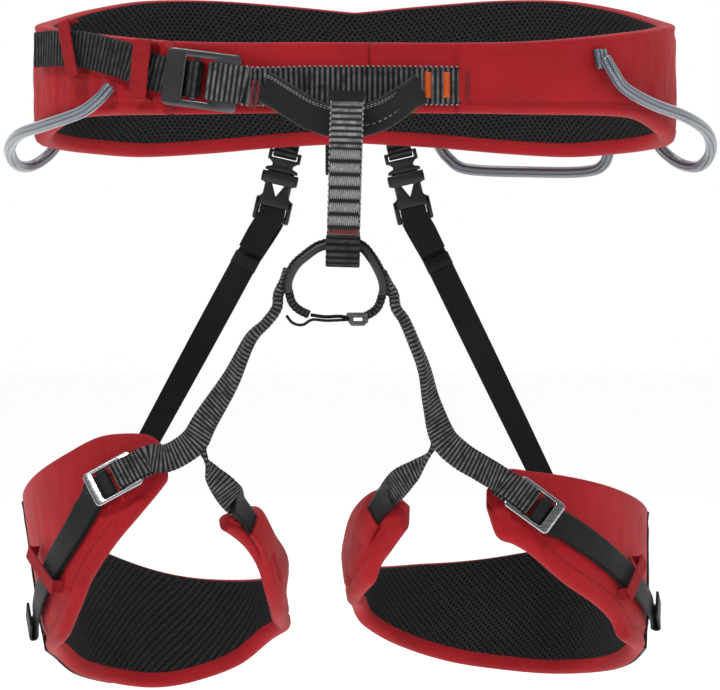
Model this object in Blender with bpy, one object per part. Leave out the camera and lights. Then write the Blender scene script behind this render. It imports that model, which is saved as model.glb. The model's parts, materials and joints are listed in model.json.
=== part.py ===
"""A climbing harness: padded waist belt, two leg loops, tie-in straps, belay loop and gear loops.

Metres, +Z up, +X to the wearer's left hand as seen from the front, -Y to the front.
The origin is the middle of the waist opening, at the height of the belt's webbing.
"""

import math

import bmesh
import bpy
import numpy as np
from mathutils import Matrix, Vector

# Waist belt: outer ellipse, and the layers from outside to inside.
BELT_CENTRE_X = 0.001
BELT_HALF_WIDTH = 0.160
BELT_HALF_DEPTH = 0.092
BELT_THICKNESS = 0.0090
SHELL_THICKNESS = 0.0010
LOAD_WEBBING_THICKNESS = 0.0014
LINER_THICKNESS = 0.0010
GAP = 0.0003
HEM_TOP = 0.0030
HEM_BOTTOM = 0.0070
FRONT_RECESS = 0.0026  # how far the right front lies below the shell, where the strap crosses it
BELT_START = 3.5  # degrees from the front centre, counted towards +X and round the back
STRAP_EXIT = 18.0
BELT_END = 325.0
TONGUE_START = -33.8
TONGUE_END = 2.6
WEBBING_Z = -0.005  # height of the belt's load webbing
STRAP_WIDTH = 0.0182
STRAP_THICKNESS = 0.0018

# Edges of the belt against the angle from the front centre, the same on both sides.
BELT_ANGLES = (0, 30, 60, 75, 90, 105, 120, 135, 150, 165, 180)
BELT_TOP = (0.0158, 0.0171, 0.0246, 0.0286, 0.0320, 0.0365, 0.0432, 0.0490, 0.0506, 0.0488, 0.0453)
BELT_BOTTOM = (-0.0178, -0.0178, -0.0178, -0.0238, -0.0280, -0.0296, -0.0308, -0.0316, -0.0292, -0.0255, -0.0230)

# Waist buckle: a flat frame that stands on the tongue, in its own right, up and outward axes.
BUCKLE_ANGLE = -26.4
BUCKLE_OFFSET = 0.0042
BUCKLE_Z = -0.0020
BUCKLE_SLOPE = 8.0
BUCKLE_YAW = 4.0

# Two-piece buckles: a frame with a wide left bar and a right bar, and a slider in its opening.
BUCKLES = {
    "waist": {
        "length": 0.0370,
        "height": 0.0276,
        "thickness": 0.0026,
        "opening": (-0.0086, 0.0052),
        "opening_height": 0.0206,
        "slider": (-0.0054, -0.0028),
        "strap": STRAP_THICKNESS,
    },
    "leg": {
        "length": 0.0256,
        "height": 0.0190,
        "thickness": 0.0022,
        "opening": (-0.0080, 0.0032),
        "opening_height": 0.0150,
        "slider": (-0.0050, -0.0026),
        "strap": 0.0014,
    },
}
SLIDER_THICKNESS = 0.0012
HINGE_BEYOND = 0.0010  # the strap bends this far past the frame's right edge when the frame lifts

# Belay loop and the lower tie-in arch.
BELAY_TOP = Vector((-0.0024, -0.1100, -0.0100))
BELAY_BOTTOM = Vector((-0.0047, -0.1085, -0.0905))
BELAY_WIDTH = 0.0156
BELAY_WEBBING = 0.0040
BELAY_GAP_TOP = 0.0120
BELAY_GAP_BOTTOM = 0.0170
ARCH_Y = -0.1075
ARCH_DEPTH = 0.0095
ARCH_THICKNESS = 0.0046

# Leg loops: slanted elliptic tubes cut by a top and a bottom edge.
LEG_THICKNESS = 0.0070
LEG_HEM = 0.0060
LEG_REFERENCE_Z = -0.240
LEG_STRAP_WIDTH = 0.0138
LEG_STRAP_THICKNESS = 0.0014
LEG_BUCKLE_OFFSET = 0.0056
LEGS = {
    "left": {
        "side": -1,
        "centre": (-0.0947, 0.0010),
        "half_width": 0.0645,
        "half_depth": 0.0940,
        "slope": (0.20, -0.45),  # shift along X and Y for each metre down
        "top_angles": (-14, -9, 2, 14, 32, 60, 90, 120, 143, 172, 199, 238, 268, 290, 300, 312, 321),
        "top": (-0.1760, -0.1715, -0.1705, -0.1725, -0.1812, -0.1945, -0.2085, -0.2245, -0.2378, -0.2490,
                -0.2519, -0.2472, -0.2375, -0.2224, -0.2080, -0.2078, -0.2094),
        "bottom_angles": (-14, -9, 2, 14, 32, 43, 58, 80, 101, 118, 141, 160, 178, 203, 227, 250, 275, 290,
                          300, 309, 321),
        "bottom": (-0.1930, -0.1985, -0.2095, -0.2213, -0.2411, -0.2558, -0.2711, -0.2790, -0.2856, -0.2956,
                   -0.3030, -0.3063, -0.3042, -0.2950, -0.2797, -0.2705, -0.2620, -0.2530, -0.2400, -0.2258,
                   -0.2165),
        "ends": (-14, 321),
        "pivot": (-0.0352, -0.1060, -0.1110),
        "buckle": (9.0, -0.1950, 16.0),  # angle, height, and rise of the strap in degrees
        "strap": ((20.5, -0.2040), (33.0, -0.2205), (49.0, -0.2376), (64.0, -0.2527), (79.0, -0.2660)),
        "keeper": ((60.0, -0.2297), (45.0, -0.2453)),
        "riser": (((-0.0350, -0.1060, -0.1045), (0.0, 1.0, 0.0)), ((-0.0358, -0.1058, -0.1110), (0.0, 1.0, 0.0)),
                  ((-0.0408, -0.1050, -0.1180), (0.0, 1.0, 0.0)), ((-0.0485, -0.1040, -0.1261), (-0.25, 1.0, 0.12)),
                  ((-0.0578, -0.0995, -0.1451), (-0.55, 0.8, 0.25)), ((-0.0698, -0.0925, -0.1642), (-0.8, 0.5, 0.40)),
                  ((-0.0752, -0.0885, -0.1738), (-0.80, 0.15, 0.60)), ((-0.0825, -0.0850, -0.1796), (-0.65, 0.25, 0.75)),
                  ((-0.0898, -0.0815, -0.1828), (-0.55, 0.35, 0.75))),
        "inner": (((-0.0738, -0.0850, -0.1722), (-0.9, 0.1, 0.35)), ((-0.0705, -0.0810, -0.1830), (-0.2, 1.0, 0.10)),
                  ((-0.0674, -0.0760, -0.1905), (0.75, 0.7, 0.25)), ((-0.0610, -0.0690, -0.1985), (0.92, 0.3, 0.30))),
        "inner_foot": ((314.5, -0.2105), (306.0, -0.2215)),
    },
    "right": {
        "side": 1,
        "centre": (0.0703, 0.0010),
        "half_width": 0.0762,
        "half_depth": 0.0890,
        "slope": (-0.05, -0.42),
        "top_angles": (-6, -1, 11, 25, 41, 62, 90, 120, 150, 162, 184, 205, 241, 270, 287, 301, 311, 320),
        "top": (-0.1975, -0.1883, -0.1889, -0.1915, -0.1958, -0.2030, -0.2130, -0.2245, -0.2345, -0.2380,
                -0.2423, -0.2435, -0.2417, -0.2303, -0.2114, -0.2014, -0.1985, -0.2040),
        "bottom_angles": (-6, -2, 5, 11, 26, 42, 53, 60, 94, 111, 128, 152, 173, 194, 217, 238, 251, 270, 300,
                          306, 311, 320),
        "bottom": (-0.2060, -0.2186, -0.2228, -0.2271, -0.2416, -0.2532, -0.2625, -0.2715, -0.2822, -0.2902,
                   -0.2955, -0.2986, -0.2974, -0.2932, -0.2839, -0.2722, -0.2630, -0.2590, -0.2480, -0.2361,
                   -0.2291, -0.2170),
        "ends": (-6, 320),
        "pivot": (0.0195, -0.1060, -0.1110),
        "buckle": (10.7, -0.2075, 32.0),
        "strap": ((22.0, -0.2160), (37.6, -0.2282), (53.0, -0.2408), (68.0, -0.2527), (83.0, -0.2620)),
        "keeper": ((60.2, -0.2345), (50.4, -0.2500)),
        "riser": (((0.0193, -0.1060, -0.1045), (0.0, 1.0, 0.0)), ((0.0205, -0.1058, -0.1110), (0.0, 1.0, 0.0)),
                  ((0.0245, -0.1050, -0.1170), (0.1, 1.0, 0.05)), ((0.0295, -0.1035, -0.1285), (0.45, 0.9, 0.15)),
                  ((0.0343, -0.1000, -0.1403), (0.8, 0.55, 0.25)), ((0.0382, -0.0950, -0.1560), (0.8, 0.5, 0.25)),
                  ((0.0440, -0.0885, -0.1724), (0.80, 0.15, 0.55)), ((0.0513, -0.0850, -0.1810), (0.65, 0.25, 0.70)),
                  ((0.0609, -0.0825, -0.1870), (0.58, 0.38, 0.72))),
        "inner": (((0.0415, -0.0850, -0.1700), (0.9, 0.1, 0.35)), ((0.0372, -0.0810, -0.1800), (0.2, 1.0, 0.20)),
                  ((0.0299, -0.0745, -0.1884), (-0.6, 0.7, 0.65)), ((0.0225, -0.0655, -0.1950), (-0.66, 0.4, 0.70))),
        "inner_foot": ((311.5, -0.2070), (304.5, -0.2170)),
    },
}

# Rear adjusters: side-release buckles under the belt, each on an elastic riser.
RISER_BUCKLE_TOP_Z = -0.0255
RISER_BUCKLE_SPLAY = 13.0
RISER_BUCKLE_X = {"left": -0.0350, "right": 0.0240}
RISER_BUCKLE_Y = 0.0955
RISER_WIDTH = 0.0135
ELASTIC_FOOT_ANGLE = {"left": 143.0, "right": 148.0}

# Gear loops: stiff tubes over a cord.
GEAR_TUBE_RADIUS = 0.0030

RED = (0.55, 0.02, 0.03)
BLACK = (0.015, 0.015, 0.016)
GREY = (0.10, 0.10, 0.10)
STEEL = (0.55, 0.56, 0.57)
GUNMETAL = (0.12, 0.125, 0.13)
CORD_GREY = (0.33, 0.36, 0.40)
ORANGE = (0.90, 0.25, 0.03)


def material(name, colour, roughness, metallic=0.0):
    made = bpy.data.materials.get(name) or bpy.data.materials.new(name)
    made.use_nodes = True
    shader = made.node_tree.nodes["Principled BSDF"]
    shader.inputs["Base Color"].default_value = (*colour, 1)
    shader.inputs["Roughness"].default_value = roughness
    shader.inputs["Metallic"].default_value = metallic
    return made


def pivot(name, place):
    """An empty that the pieces of one moving body hang from."""
    empty = bpy.data.objects.new(name, None)
    empty.location = place
    empty.empty_display_size = 0.01
    bpy.context.collection.objects.link(empty)
    return empty


def add(name, mesh, made_of, parent=None, guide=False):
    """An object from a bmesh in world coordinates; its origin goes to its parent's place."""
    place = Vector(parent.location) if parent else Vector()
    bmesh.ops.translate(mesh, verts=mesh.verts, vec=-place)
    bmesh.ops.recalc_face_normals(mesh, faces=mesh.faces)
    data = bpy.data.meshes.new(name)
    mesh.to_mesh(data)
    mesh.free()
    data.shade_smooth()
    data.set_sharp_from_angle(angle=math.radians(40))
    made = bpy.data.objects.new(name, data)
    data.materials.append(made_of)
    bpy.context.collection.objects.link(made)
    made.parent = parent
    if guide:
        made.hide_render = True
        made.display_type = "WIRE"
    return made


def skin(sections, closed=False):
    """A solid through matching sections, each a ring of points; closed joins the last to the first."""
    mesh = bmesh.new()
    rings = [[mesh.verts.new(point) for point in section] for section in sections]
    for low, high in zip(rings, rings[1:] + rings[:1] if closed else rings[1:]):
        for i, corner in enumerate(low):
            j = (i + 1) % len(low)
            mesh.faces.new((corner, low[j], high[j], high[i]))
    if not closed:
        mesh.faces.new(rings[0][::-1])
        mesh.faces.new(rings[-1])
    return mesh


def smooth_route(points, steps):
    """Points along a Catmull-Rom curve through the given ones, with this many steps to each span."""
    points = [Vector(point) for point in points]
    ends = [2 * points[0] - points[1], *points, 2 * points[-1] - points[-2]]
    route = []
    for before, start, end, after in zip(ends, ends[1:], ends[2:], ends[3:]):
        for step in range(steps):
            t = step / steps
            route.append(
                0.5
                * (
                    2 * start
                    + (end - before) * t
                    + (2 * before - 5 * start + 4 * end - after) * t**2
                    + (3 * start - 3 * end + after - before) * t**3
                )
            )
    return [*route, points[-1]]


def tangents(route, closed=False):
    count = len(route)
    found = []
    for i in range(count):
        ahead = route[(i + 1) % count if closed else min(i + 1, count - 1)]
        behind = route[(i - 1) % count if closed else max(i - 1, 0)]
        found.append((ahead - behind).normalized())
    return found


def strap(route, across, width, thickness, closed=False):
    """A flat strap along a route; across gives the direction of its width at each point."""
    sections = []
    widths = width if isinstance(width, (list, tuple)) else [width] * len(route)
    for point, along, side, wide in zip(route, tangents(route, closed), across, widths):
        side = (side - side.dot(along) * along).normalized()
        out = along.cross(side).normalized() * thickness / 2
        side = side * wide / 2
        sections.append([point - side - out, point + side - out, point + side + out, point - side + out])
    return skin(sections, closed)


def box(low, high, axes=None, origin=(0, 0, 0)):
    """A block between two corners given along three axes from an origin."""
    mesh = bmesh.new()
    bmesh.ops.create_cube(mesh, size=1)
    low, high = Vector(low), Vector(high)
    turn = Matrix(axes).transposed() if axes else Matrix.Identity(3)
    for corner in mesh.verts:
        inner = (low + high) / 2 + Vector(a * b for a, b in zip(corner.co, high - low))
        corner.co = Vector(origin) + turn @ inner
    return mesh


def cut(target, cutters):
    """Takes each cutter out of the target."""
    for cutter in cutters:
        modifier = target.modifiers.new("Cut", "BOOLEAN")
        modifier.operation = "DIFFERENCE"
        modifier.solver = "EXACT"
        modifier.object = cutter


def rounded(target, width, segments=1):
    modifier = target.modifiers.new("Soft edges", "BEVEL")
    modifier.width = width
    modifier.segments = segments
    modifier.limit_method = "ANGLE"
    modifier.angle_limit = math.radians(50)
    return modifier


# ---- Waist belt ----


def belt_point(angle, offset, z):
    """A point over the belt's outer face: degrees from the front centre towards +X, offset outward."""
    turn = math.radians(angle)
    return Vector(
        (
            BELT_CENTRE_X + (BELT_HALF_WIDTH + offset) * math.sin(turn),
            -(BELT_HALF_DEPTH + offset) * math.cos(turn),
            z,
        )
    )


def belt_edges(angle):
    """Heights of the belt's bottom and top edges."""
    folded = abs((angle + 180) % 360 - 180)
    return np.interp(folded, BELT_ANGLES, BELT_BOTTOM), np.interp(folded, BELT_ANGLES, BELT_TOP)


def angles_between(start, end, most_step):
    return np.linspace(start, end, math.ceil(abs(end - start) / most_step) + 1)


def belt_stops(start, end):
    """The angles of the belt's sections, which all its layers share, from start to end."""
    before_exit = STRAP_EXIT - 0.35
    stops = [BELT_START, (BELT_START + before_exit) / 2, before_exit, *angles_between(STRAP_EXIT, BELT_END, 6.0)]
    return [stop for stop in stops if start - 0.01 <= stop <= end + 0.01]


def belt_band(section, stops):
    """A band along the belt; section gives (offset, height) pairs at an angle."""
    return skin([[belt_point(angle, *pair) for pair in section(angle)] for angle in stops])


def build_belt():
    red = material("red nylon shell", RED, 0.75)
    black = material("black mesh liner", BLACK, 0.9)
    foam_grey = material("closed cell foam", GREY, 0.9)
    webbing = material("black webbing", BLACK, 0.7)
    inner = -BELT_THICKNESS
    leaf = SHELL_THICKNESS

    def shell_section(angle):
        bottom, top = belt_edges(angle)
        outer = -FRONT_RECESS if angle < STRAP_EXIT else 0.0
        return [
            (outer, bottom),
            (outer, top),
            (inner, top),
            (inner, top - HEM_TOP),
            (inner + leaf, top - HEM_TOP),
            (inner + leaf, top - leaf),
            (outer - leaf, top - leaf),
            (outer - leaf, bottom + leaf),
            (inner + leaf, bottom + leaf),
            (inner + leaf, bottom + HEM_BOTTOM),
            (inner, bottom + HEM_BOTTOM),
            (inner, bottom),
        ]

    def rectangle(outer, inward, above, below):
        def section(angle):
            bottom, top = belt_edges(angle)
            return [
                (inward, bottom + below),
                (outer, bottom + below),
                (outer, top - above),
                (inward, top - above),
            ]

        return section

    whole = belt_stops(BELT_START, BELT_END)
    add("belt_shell", belt_band(shell_section, whole), red)
    load_outer = -leaf - GAP
    load_inner = load_outer - LOAD_WEBBING_THICKNESS
    foam_outer = -FRONT_RECESS - leaf - GAP
    foam_inner = inner + leaf + GAP
    edge = leaf + GAP
    foam = rectangle(foam_outer, foam_inner, edge, edge)
    add("belt_foam", belt_band(foam, whole), foam_grey)
    liner = rectangle(foam_inner - GAP, foam_inner - GAP - LINER_THICKNESS, HEM_TOP + GAP, HEM_BOTTOM + GAP)
    add("belt_liner", belt_band(liner, whole), black)

    def load_section(angle):
        low, high = WEBBING_Z - 0.009, WEBBING_Z + 0.009
        return [(load_inner, low), (load_outer, low), (load_outer, high), (load_inner, high)]

    add("belt_load_webbing", belt_band(load_section, belt_stops(STRAP_EXIT + 2, BELT_END - 15)), webbing)

    def tongue_section(angle):
        bottom, top = belt_edges(angle)
        return [(-0.0062, bottom), (-FRONT_RECESS, bottom), (-FRONT_RECESS, top), (-0.0062, top)]

    add("belt_tongue", belt_band(tongue_section, angles_between(TONGUE_START, TONGUE_END, 6.0)), red)


# ---- Waist strap, buckle and keepers ----


def buckle_axes():
    """The waist buckle's origin and its right, up and outward directions."""
    origin = belt_point(BUCKLE_ANGLE, BUCKLE_OFFSET, BUCKLE_Z)
    right = (belt_point(BUCKLE_ANGLE + 1, 0, 0) - belt_point(BUCKLE_ANGLE - 1, 0, 0)).normalized()
    right = Matrix.Rotation(math.radians(BUCKLE_YAW), 3, "Z") @ right
    right = (right - Vector((0, 0, math.tan(math.radians(BUCKLE_SLOPE))))).normalized()
    out = right.cross(Vector((0, 0, 1))).normalized()
    up = out.cross(right).normalized()
    return origin, (right, up, out)


def build_buckle(kind, name, origin, axes, frame_colour, parent=None):
    """A frame that lifts about its right edge, and the slider that the adjusting strap turns round."""
    size = BUCKLES[kind]
    right = axes[0]
    steel = material("steel slider", STEEL, 0.3, 1.0)
    half_length, half_height, half_thick = size["length"] / 2, size["height"] / 2, size["thickness"] / 2
    lift = pivot(f"{name}_hinge", Vector(origin) + right * (half_length + HINGE_BEYOND))
    block = box((-half_length, -half_height, -half_thick), (half_length, half_height, half_thick), axes, origin)
    frame = add(f"{name}_frame", block, frame_colour, lift)
    rounded(frame, 0.0006)
    low, high = size["opening"]
    tall = size["opening_height"] / 2
    hole = box((low, -tall, -0.004), (high, tall, 0.004), axes, origin)
    cut(frame, [add(f"{name}_opening", hole, frame_colour, guide=True)])
    if parent:
        lift.parent = parent
        lift.location = lift.location - parent.location
    top = -half_thick - GAP
    reach = half_height - 0.0006
    slider = box((size["slider"][0], -reach, top - SLIDER_THICKNESS), (size["slider"][1], reach, top), axes, origin)
    add(f"{name}_slider", slider, steel, parent)


def fold_over_bar(kind, local):
    """Strap centres that come over the right bar, turn round its inner edge and go back underneath."""
    size = BUCKLES[kind]
    edge, end = size["opening"][1], size["length"] / 2
    over = size["thickness"] / 2 + GAP + size["strap"] / 2 + 0.0001
    turn = size["strap"] / 2 + GAP + 0.0003
    return [
        local(end + 0.0080, over - 0.0014),
        local(end + 0.0015, over),
        local(edge + 0.0008, over),
        local(edge - turn * 0.75, over - 0.0006),
        local(edge - turn - 0.0004, 0.0),
        local(edge - turn * 0.75, -over + 0.0006),
        local(edge + 0.0008, -over),
        local(end - 0.0005, -over),
        local(end + 0.0075, -over - 0.0008),
    ]


def turn_round_slider(kind, local):
    """Strap centres that come under the frame from the left, turn round the slider and go back."""
    size = BUCKLES[kind]
    half = size["strap"] / 2
    top = -size["thickness"] / 2 - GAP
    upper = top - half - 0.0002
    lower = min(upper - 2 * half, top - SLIDER_THICKNESS - half) - GAP
    over = top + half + GAP
    far, left = size["slider"][1] + GAP + half, size["slider"][0] - GAP - half
    start = -size["length"] / 2
    return [
        local(start + 0.0010, lower),
        local(size["slider"][0], lower),
        local(far - 0.0010, lower),
        local(far, lower + 0.0010),
        local(far, over - 0.0010),
        local(far - 0.0010, over),
        local(left + 0.0012, over),
        local(left, over - 0.0009),
        local(left - 0.0002, upper + 0.0010),
        local(left - 0.0010, upper),
        local(start + 0.0010, upper),
    ]


def build_waist_buckle():
    origin, axes = buckle_axes()
    right, up, out = axes
    build_buckle("waist", "waist_buckle", origin, axes, material("gunmetal buckle", GUNMETAL, 0.35, 1.0))

    def local(u, w):
        return origin + right * u + out * w

    grey = material("grey ribbed webbing", GREY, 0.7)
    black = material("black webbing", BLACK, 0.7)
    # The front strap: from under the shell, across the front, folded round the frame's right bar.
    along_belt = [belt_point(angle, -0.0014, WEBBING_Z) for angle in np.linspace(17.3, -9.0, 9)]
    folded = fold_over_bar("waist", local)
    upright = [Vector((0, 0, 1))] * len(along_belt) + [up] * len(folded)
    add("waist_strap", strap(along_belt + folded, upright, STRAP_WIDTH, STRAP_THICKNESS), grey)
    # The adjusting strap: sewn to the belt's left, under the frame, round the slider, and back as a tail.
    lower, upper = 0.0015, 0.0038
    tail = [(-38.0, 0.0038), (-42.0, 0.0078), (-46.0, 0.0105), (-50.0, 0.0130), (-54.0, 0.0148), (-58.0, 0.0157),
            (-62.0, 0.0163), (-66.0, 0.0167), (-69.5, 0.0168)]
    incoming = tail[5::-1]
    turned = turn_round_slider("waist", local)
    route = [belt_point(angle, lower, z) for angle, z in incoming] + turned
    route += [belt_point(angle, upper, z) for angle, z in tail]
    route += [belt_point(-72.5, upper + 0.0012, 0.0168)]
    upright = [Vector((0, 0, 1))] * len(incoming) + [up] * len(turned) + [Vector((0, 0, 1))] * (len(tail) + 1)
    add("waist_adjusting_strap", strap(route, upright, 0.0176, STRAP_THICKNESS), black)


def keeper_over(name, start, end, out, width, reach, made_of, parent=None):
    """A sewn band over a strap, open towards the pad below it."""
    rise = (end - start).normalized()
    route = [
        start,
        start + rise * 0.0006 + out * reach * 0.7,
        start + rise * 0.0018 + out * reach,
        end - rise * 0.0018 + out * reach,
        end - rise * 0.0006 + out * reach * 0.7,
        end,
    ]
    add(name, strap(route, [out.cross(rise)] * len(route), width, 0.0012), made_of, parent)


def build_waist_keepers():
    red = material("red nylon shell", RED, 0.75)
    for name, low, high, width in (
        ("keeper_front", (-39.9, -0.0105), (-38.7, 0.0172), 0.0095),
        ("keeper_side", (-54.9, 0.0022), (-58.1, 0.0284), 0.0075),
    ):
        start, end = belt_point(low[0], 0.0014, low[1]), belt_point(high[0], 0.0014, high[1])
        angle = (low[0] + high[0]) / 2
        along = belt_point(angle + 1, 0, 0) - belt_point(angle - 1, 0, 0)
        out = along.cross(Vector((0, 0, 1))).normalized()
        keeper_over(name, start, end, out, width, 0.0072, red)


# ---- Tie-in sleeve, belay loop, lower arch ----


def build_tie_in():
    webbing = material("black webbing", BLACK, 0.7)
    grey = material("grey ribbed webbing", GREY, 0.7)
    rubber = material("black wear sleeve", BLACK, 0.5)
    # The sleeve hangs from the waist strap in a shallow V, on edge.
    sleeve = [
        (-0.0420, -0.0995, -0.0062),
        (-0.0375, -0.1010, -0.0085),
        (-0.0290, -0.1045, -0.0140),
        (-0.0180, -0.1085, -0.0205),
        (-0.0030, -0.1100, -0.0240),
        (0.0120, -0.1085, -0.0205),
        (0.0225, -0.1035, -0.0140),
        (0.0300, -0.0965, -0.0085),
        (0.0345, -0.0930, -0.0062),
    ]
    route = smooth_route(sleeve, 3)
    add("tie_in_sleeve", strap(route, [Vector((0, 0, 1))] * len(route), 0.0150, 0.0036), webbing)
    # The belay loop: a closed band, narrow at the top and wide at the bottom.
    lean = pivot("belay_loop_axis", (BELAY_TOP + BELAY_BOTTOM) / 2)
    down = (BELAY_BOTTOM - BELAY_TOP).normalized()
    side = Vector((1, 0, 0))
    side = (side - side.dot(down) * down).normalized()
    back = down.cross(side).normalized()
    if back.y < 0:
        back = -back
    length = (BELAY_BOTTOM - BELAY_TOP).length
    half = BELAY_WEBBING / 2
    outline = []

    def corner(centre_depth, centre_reach, radius, start, end):
        for turn in np.radians(np.linspace(start, end, 5)):
            outline.append((centre_depth + radius * math.cos(turn), centre_reach + radius * math.sin(turn)))

    top_round, bottom_round = 0.0050, 0.0055
    top_half = BELAY_GAP_TOP / 2 + half
    bottom_half = BELAY_GAP_BOTTOM / 2 + half
    corner(-top_half + top_round, half + top_round, top_round, 180, 270)
    corner(top_half - top_round, half + top_round, top_round, 270, 360)
    corner(bottom_half - bottom_round, length - half - bottom_round, bottom_round, 0, 90)
    corner(-bottom_half + bottom_round, length - half - bottom_round, bottom_round, 90, 180)
    route = [BELAY_TOP + back * depth + down * reach for depth, reach in outline]
    add("belay_loop", strap(route, [side] * len(route), BELAY_WIDTH, BELAY_WEBBING, closed=True), grey, lean)
    # The sewn overlap on the front of the belay loop.
    face = -(top_half + half + GAP + 0.0006)
    face_bottom = -(bottom_half + half + GAP + 0.0006)
    ends = [0.0260, 0.0680]
    at = [face + (face_bottom - face) * reach / length for reach in ends]
    route = [BELAY_TOP + back * depth + down * reach for depth, reach in zip(at, ends)]
    add("belay_loop_overlap", strap(route, [side] * 2, BELAY_WIDTH - 0.001, 0.0012), grey, lean)
    # The lower tie-in arch, with a wear sleeve over webbing.
    arch = [
        (-0.0302, -0.1040),
        (-0.0303, -0.0985),
        (-0.0270, -0.0915),
        (-0.0220, -0.0868),
        (-0.0150, -0.0822),
        (-0.0055, -0.0805),
        (0.0035, -0.0820),
        (0.0088, -0.0878),
        (0.0128, -0.0950),
        (0.0144, -0.1005),
        (0.0143, -0.1050),
    ]
    route = smooth_route([(x, ARCH_Y, z) for x, z in arch], 3)
    add("tie_in_arch", strap(route, [Vector((0, 1, 0))] * len(route), ARCH_DEPTH, ARCH_THICKNESS), rubber)


def build_bridge():
    """The strap that joins the two leg loops under the arch."""
    black = material("black webbing", BLACK, 0.7)
    hook_grey = material("grey plastic hook", GREY, 0.45)
    y = ARCH_Y
    tab = [(-0.0302, -0.1048), (-0.0285, -0.1085), (-0.0250, -0.1120), (-0.0205, -0.1142)]
    route = smooth_route([(x, y, z) for x, z in tab], 3)
    add("bridge_tab_left", strap(route, [Vector((0, 1, 0))] * len(route), 0.0080, 0.0030), black)
    tab = [(0.0143, -0.1058), (0.0125, -0.1095), (0.0095, -0.1125), (0.0070, -0.1142)]
    route = smooth_route([(x, y, z) for x, z in tab], 3)
    add("bridge_tab_right", strap(route, [Vector((0, 1, 0))] * len(route), 0.0080, 0.0030), black)
    bridge = [(-0.0198, -0.1143), (-0.0130, -0.1152), (-0.0060, -0.1150), (-0.0012, -0.1158)]
    route = smooth_route([(x, y, z) for x, z in bridge], 2)
    add("bridge_elastic", strap(route, [Vector((0, 1, 0))] * len(route), 0.0080, 0.0012), black)
    hook = box((-0.0009, y - 0.0050, -0.1190), (0.0067, y + 0.0050, -0.1130))
    made = add("bridge_hook", hook, hook_grey)
    rounded(made, 0.0008)


# ---- Rear adjusters ----


def rear_axes(side):
    """Origin at the joint of a rear buckle's two halves, with its across, down and back directions."""
    sign = LEGS[side]["side"]
    splay = math.radians(RISER_BUCKLE_SPLAY)
    down = Vector((sign * math.sin(splay), 0, -math.cos(splay)))
    back = Vector((0, 1, 0))
    across = back.cross(down).normalized()
    origin = Vector((RISER_BUCKLE_X[side], RISER_BUCKLE_Y, RISER_BUCKLE_TOP_Z)) + down * 0.0130
    return origin, (across, down, back)


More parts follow.
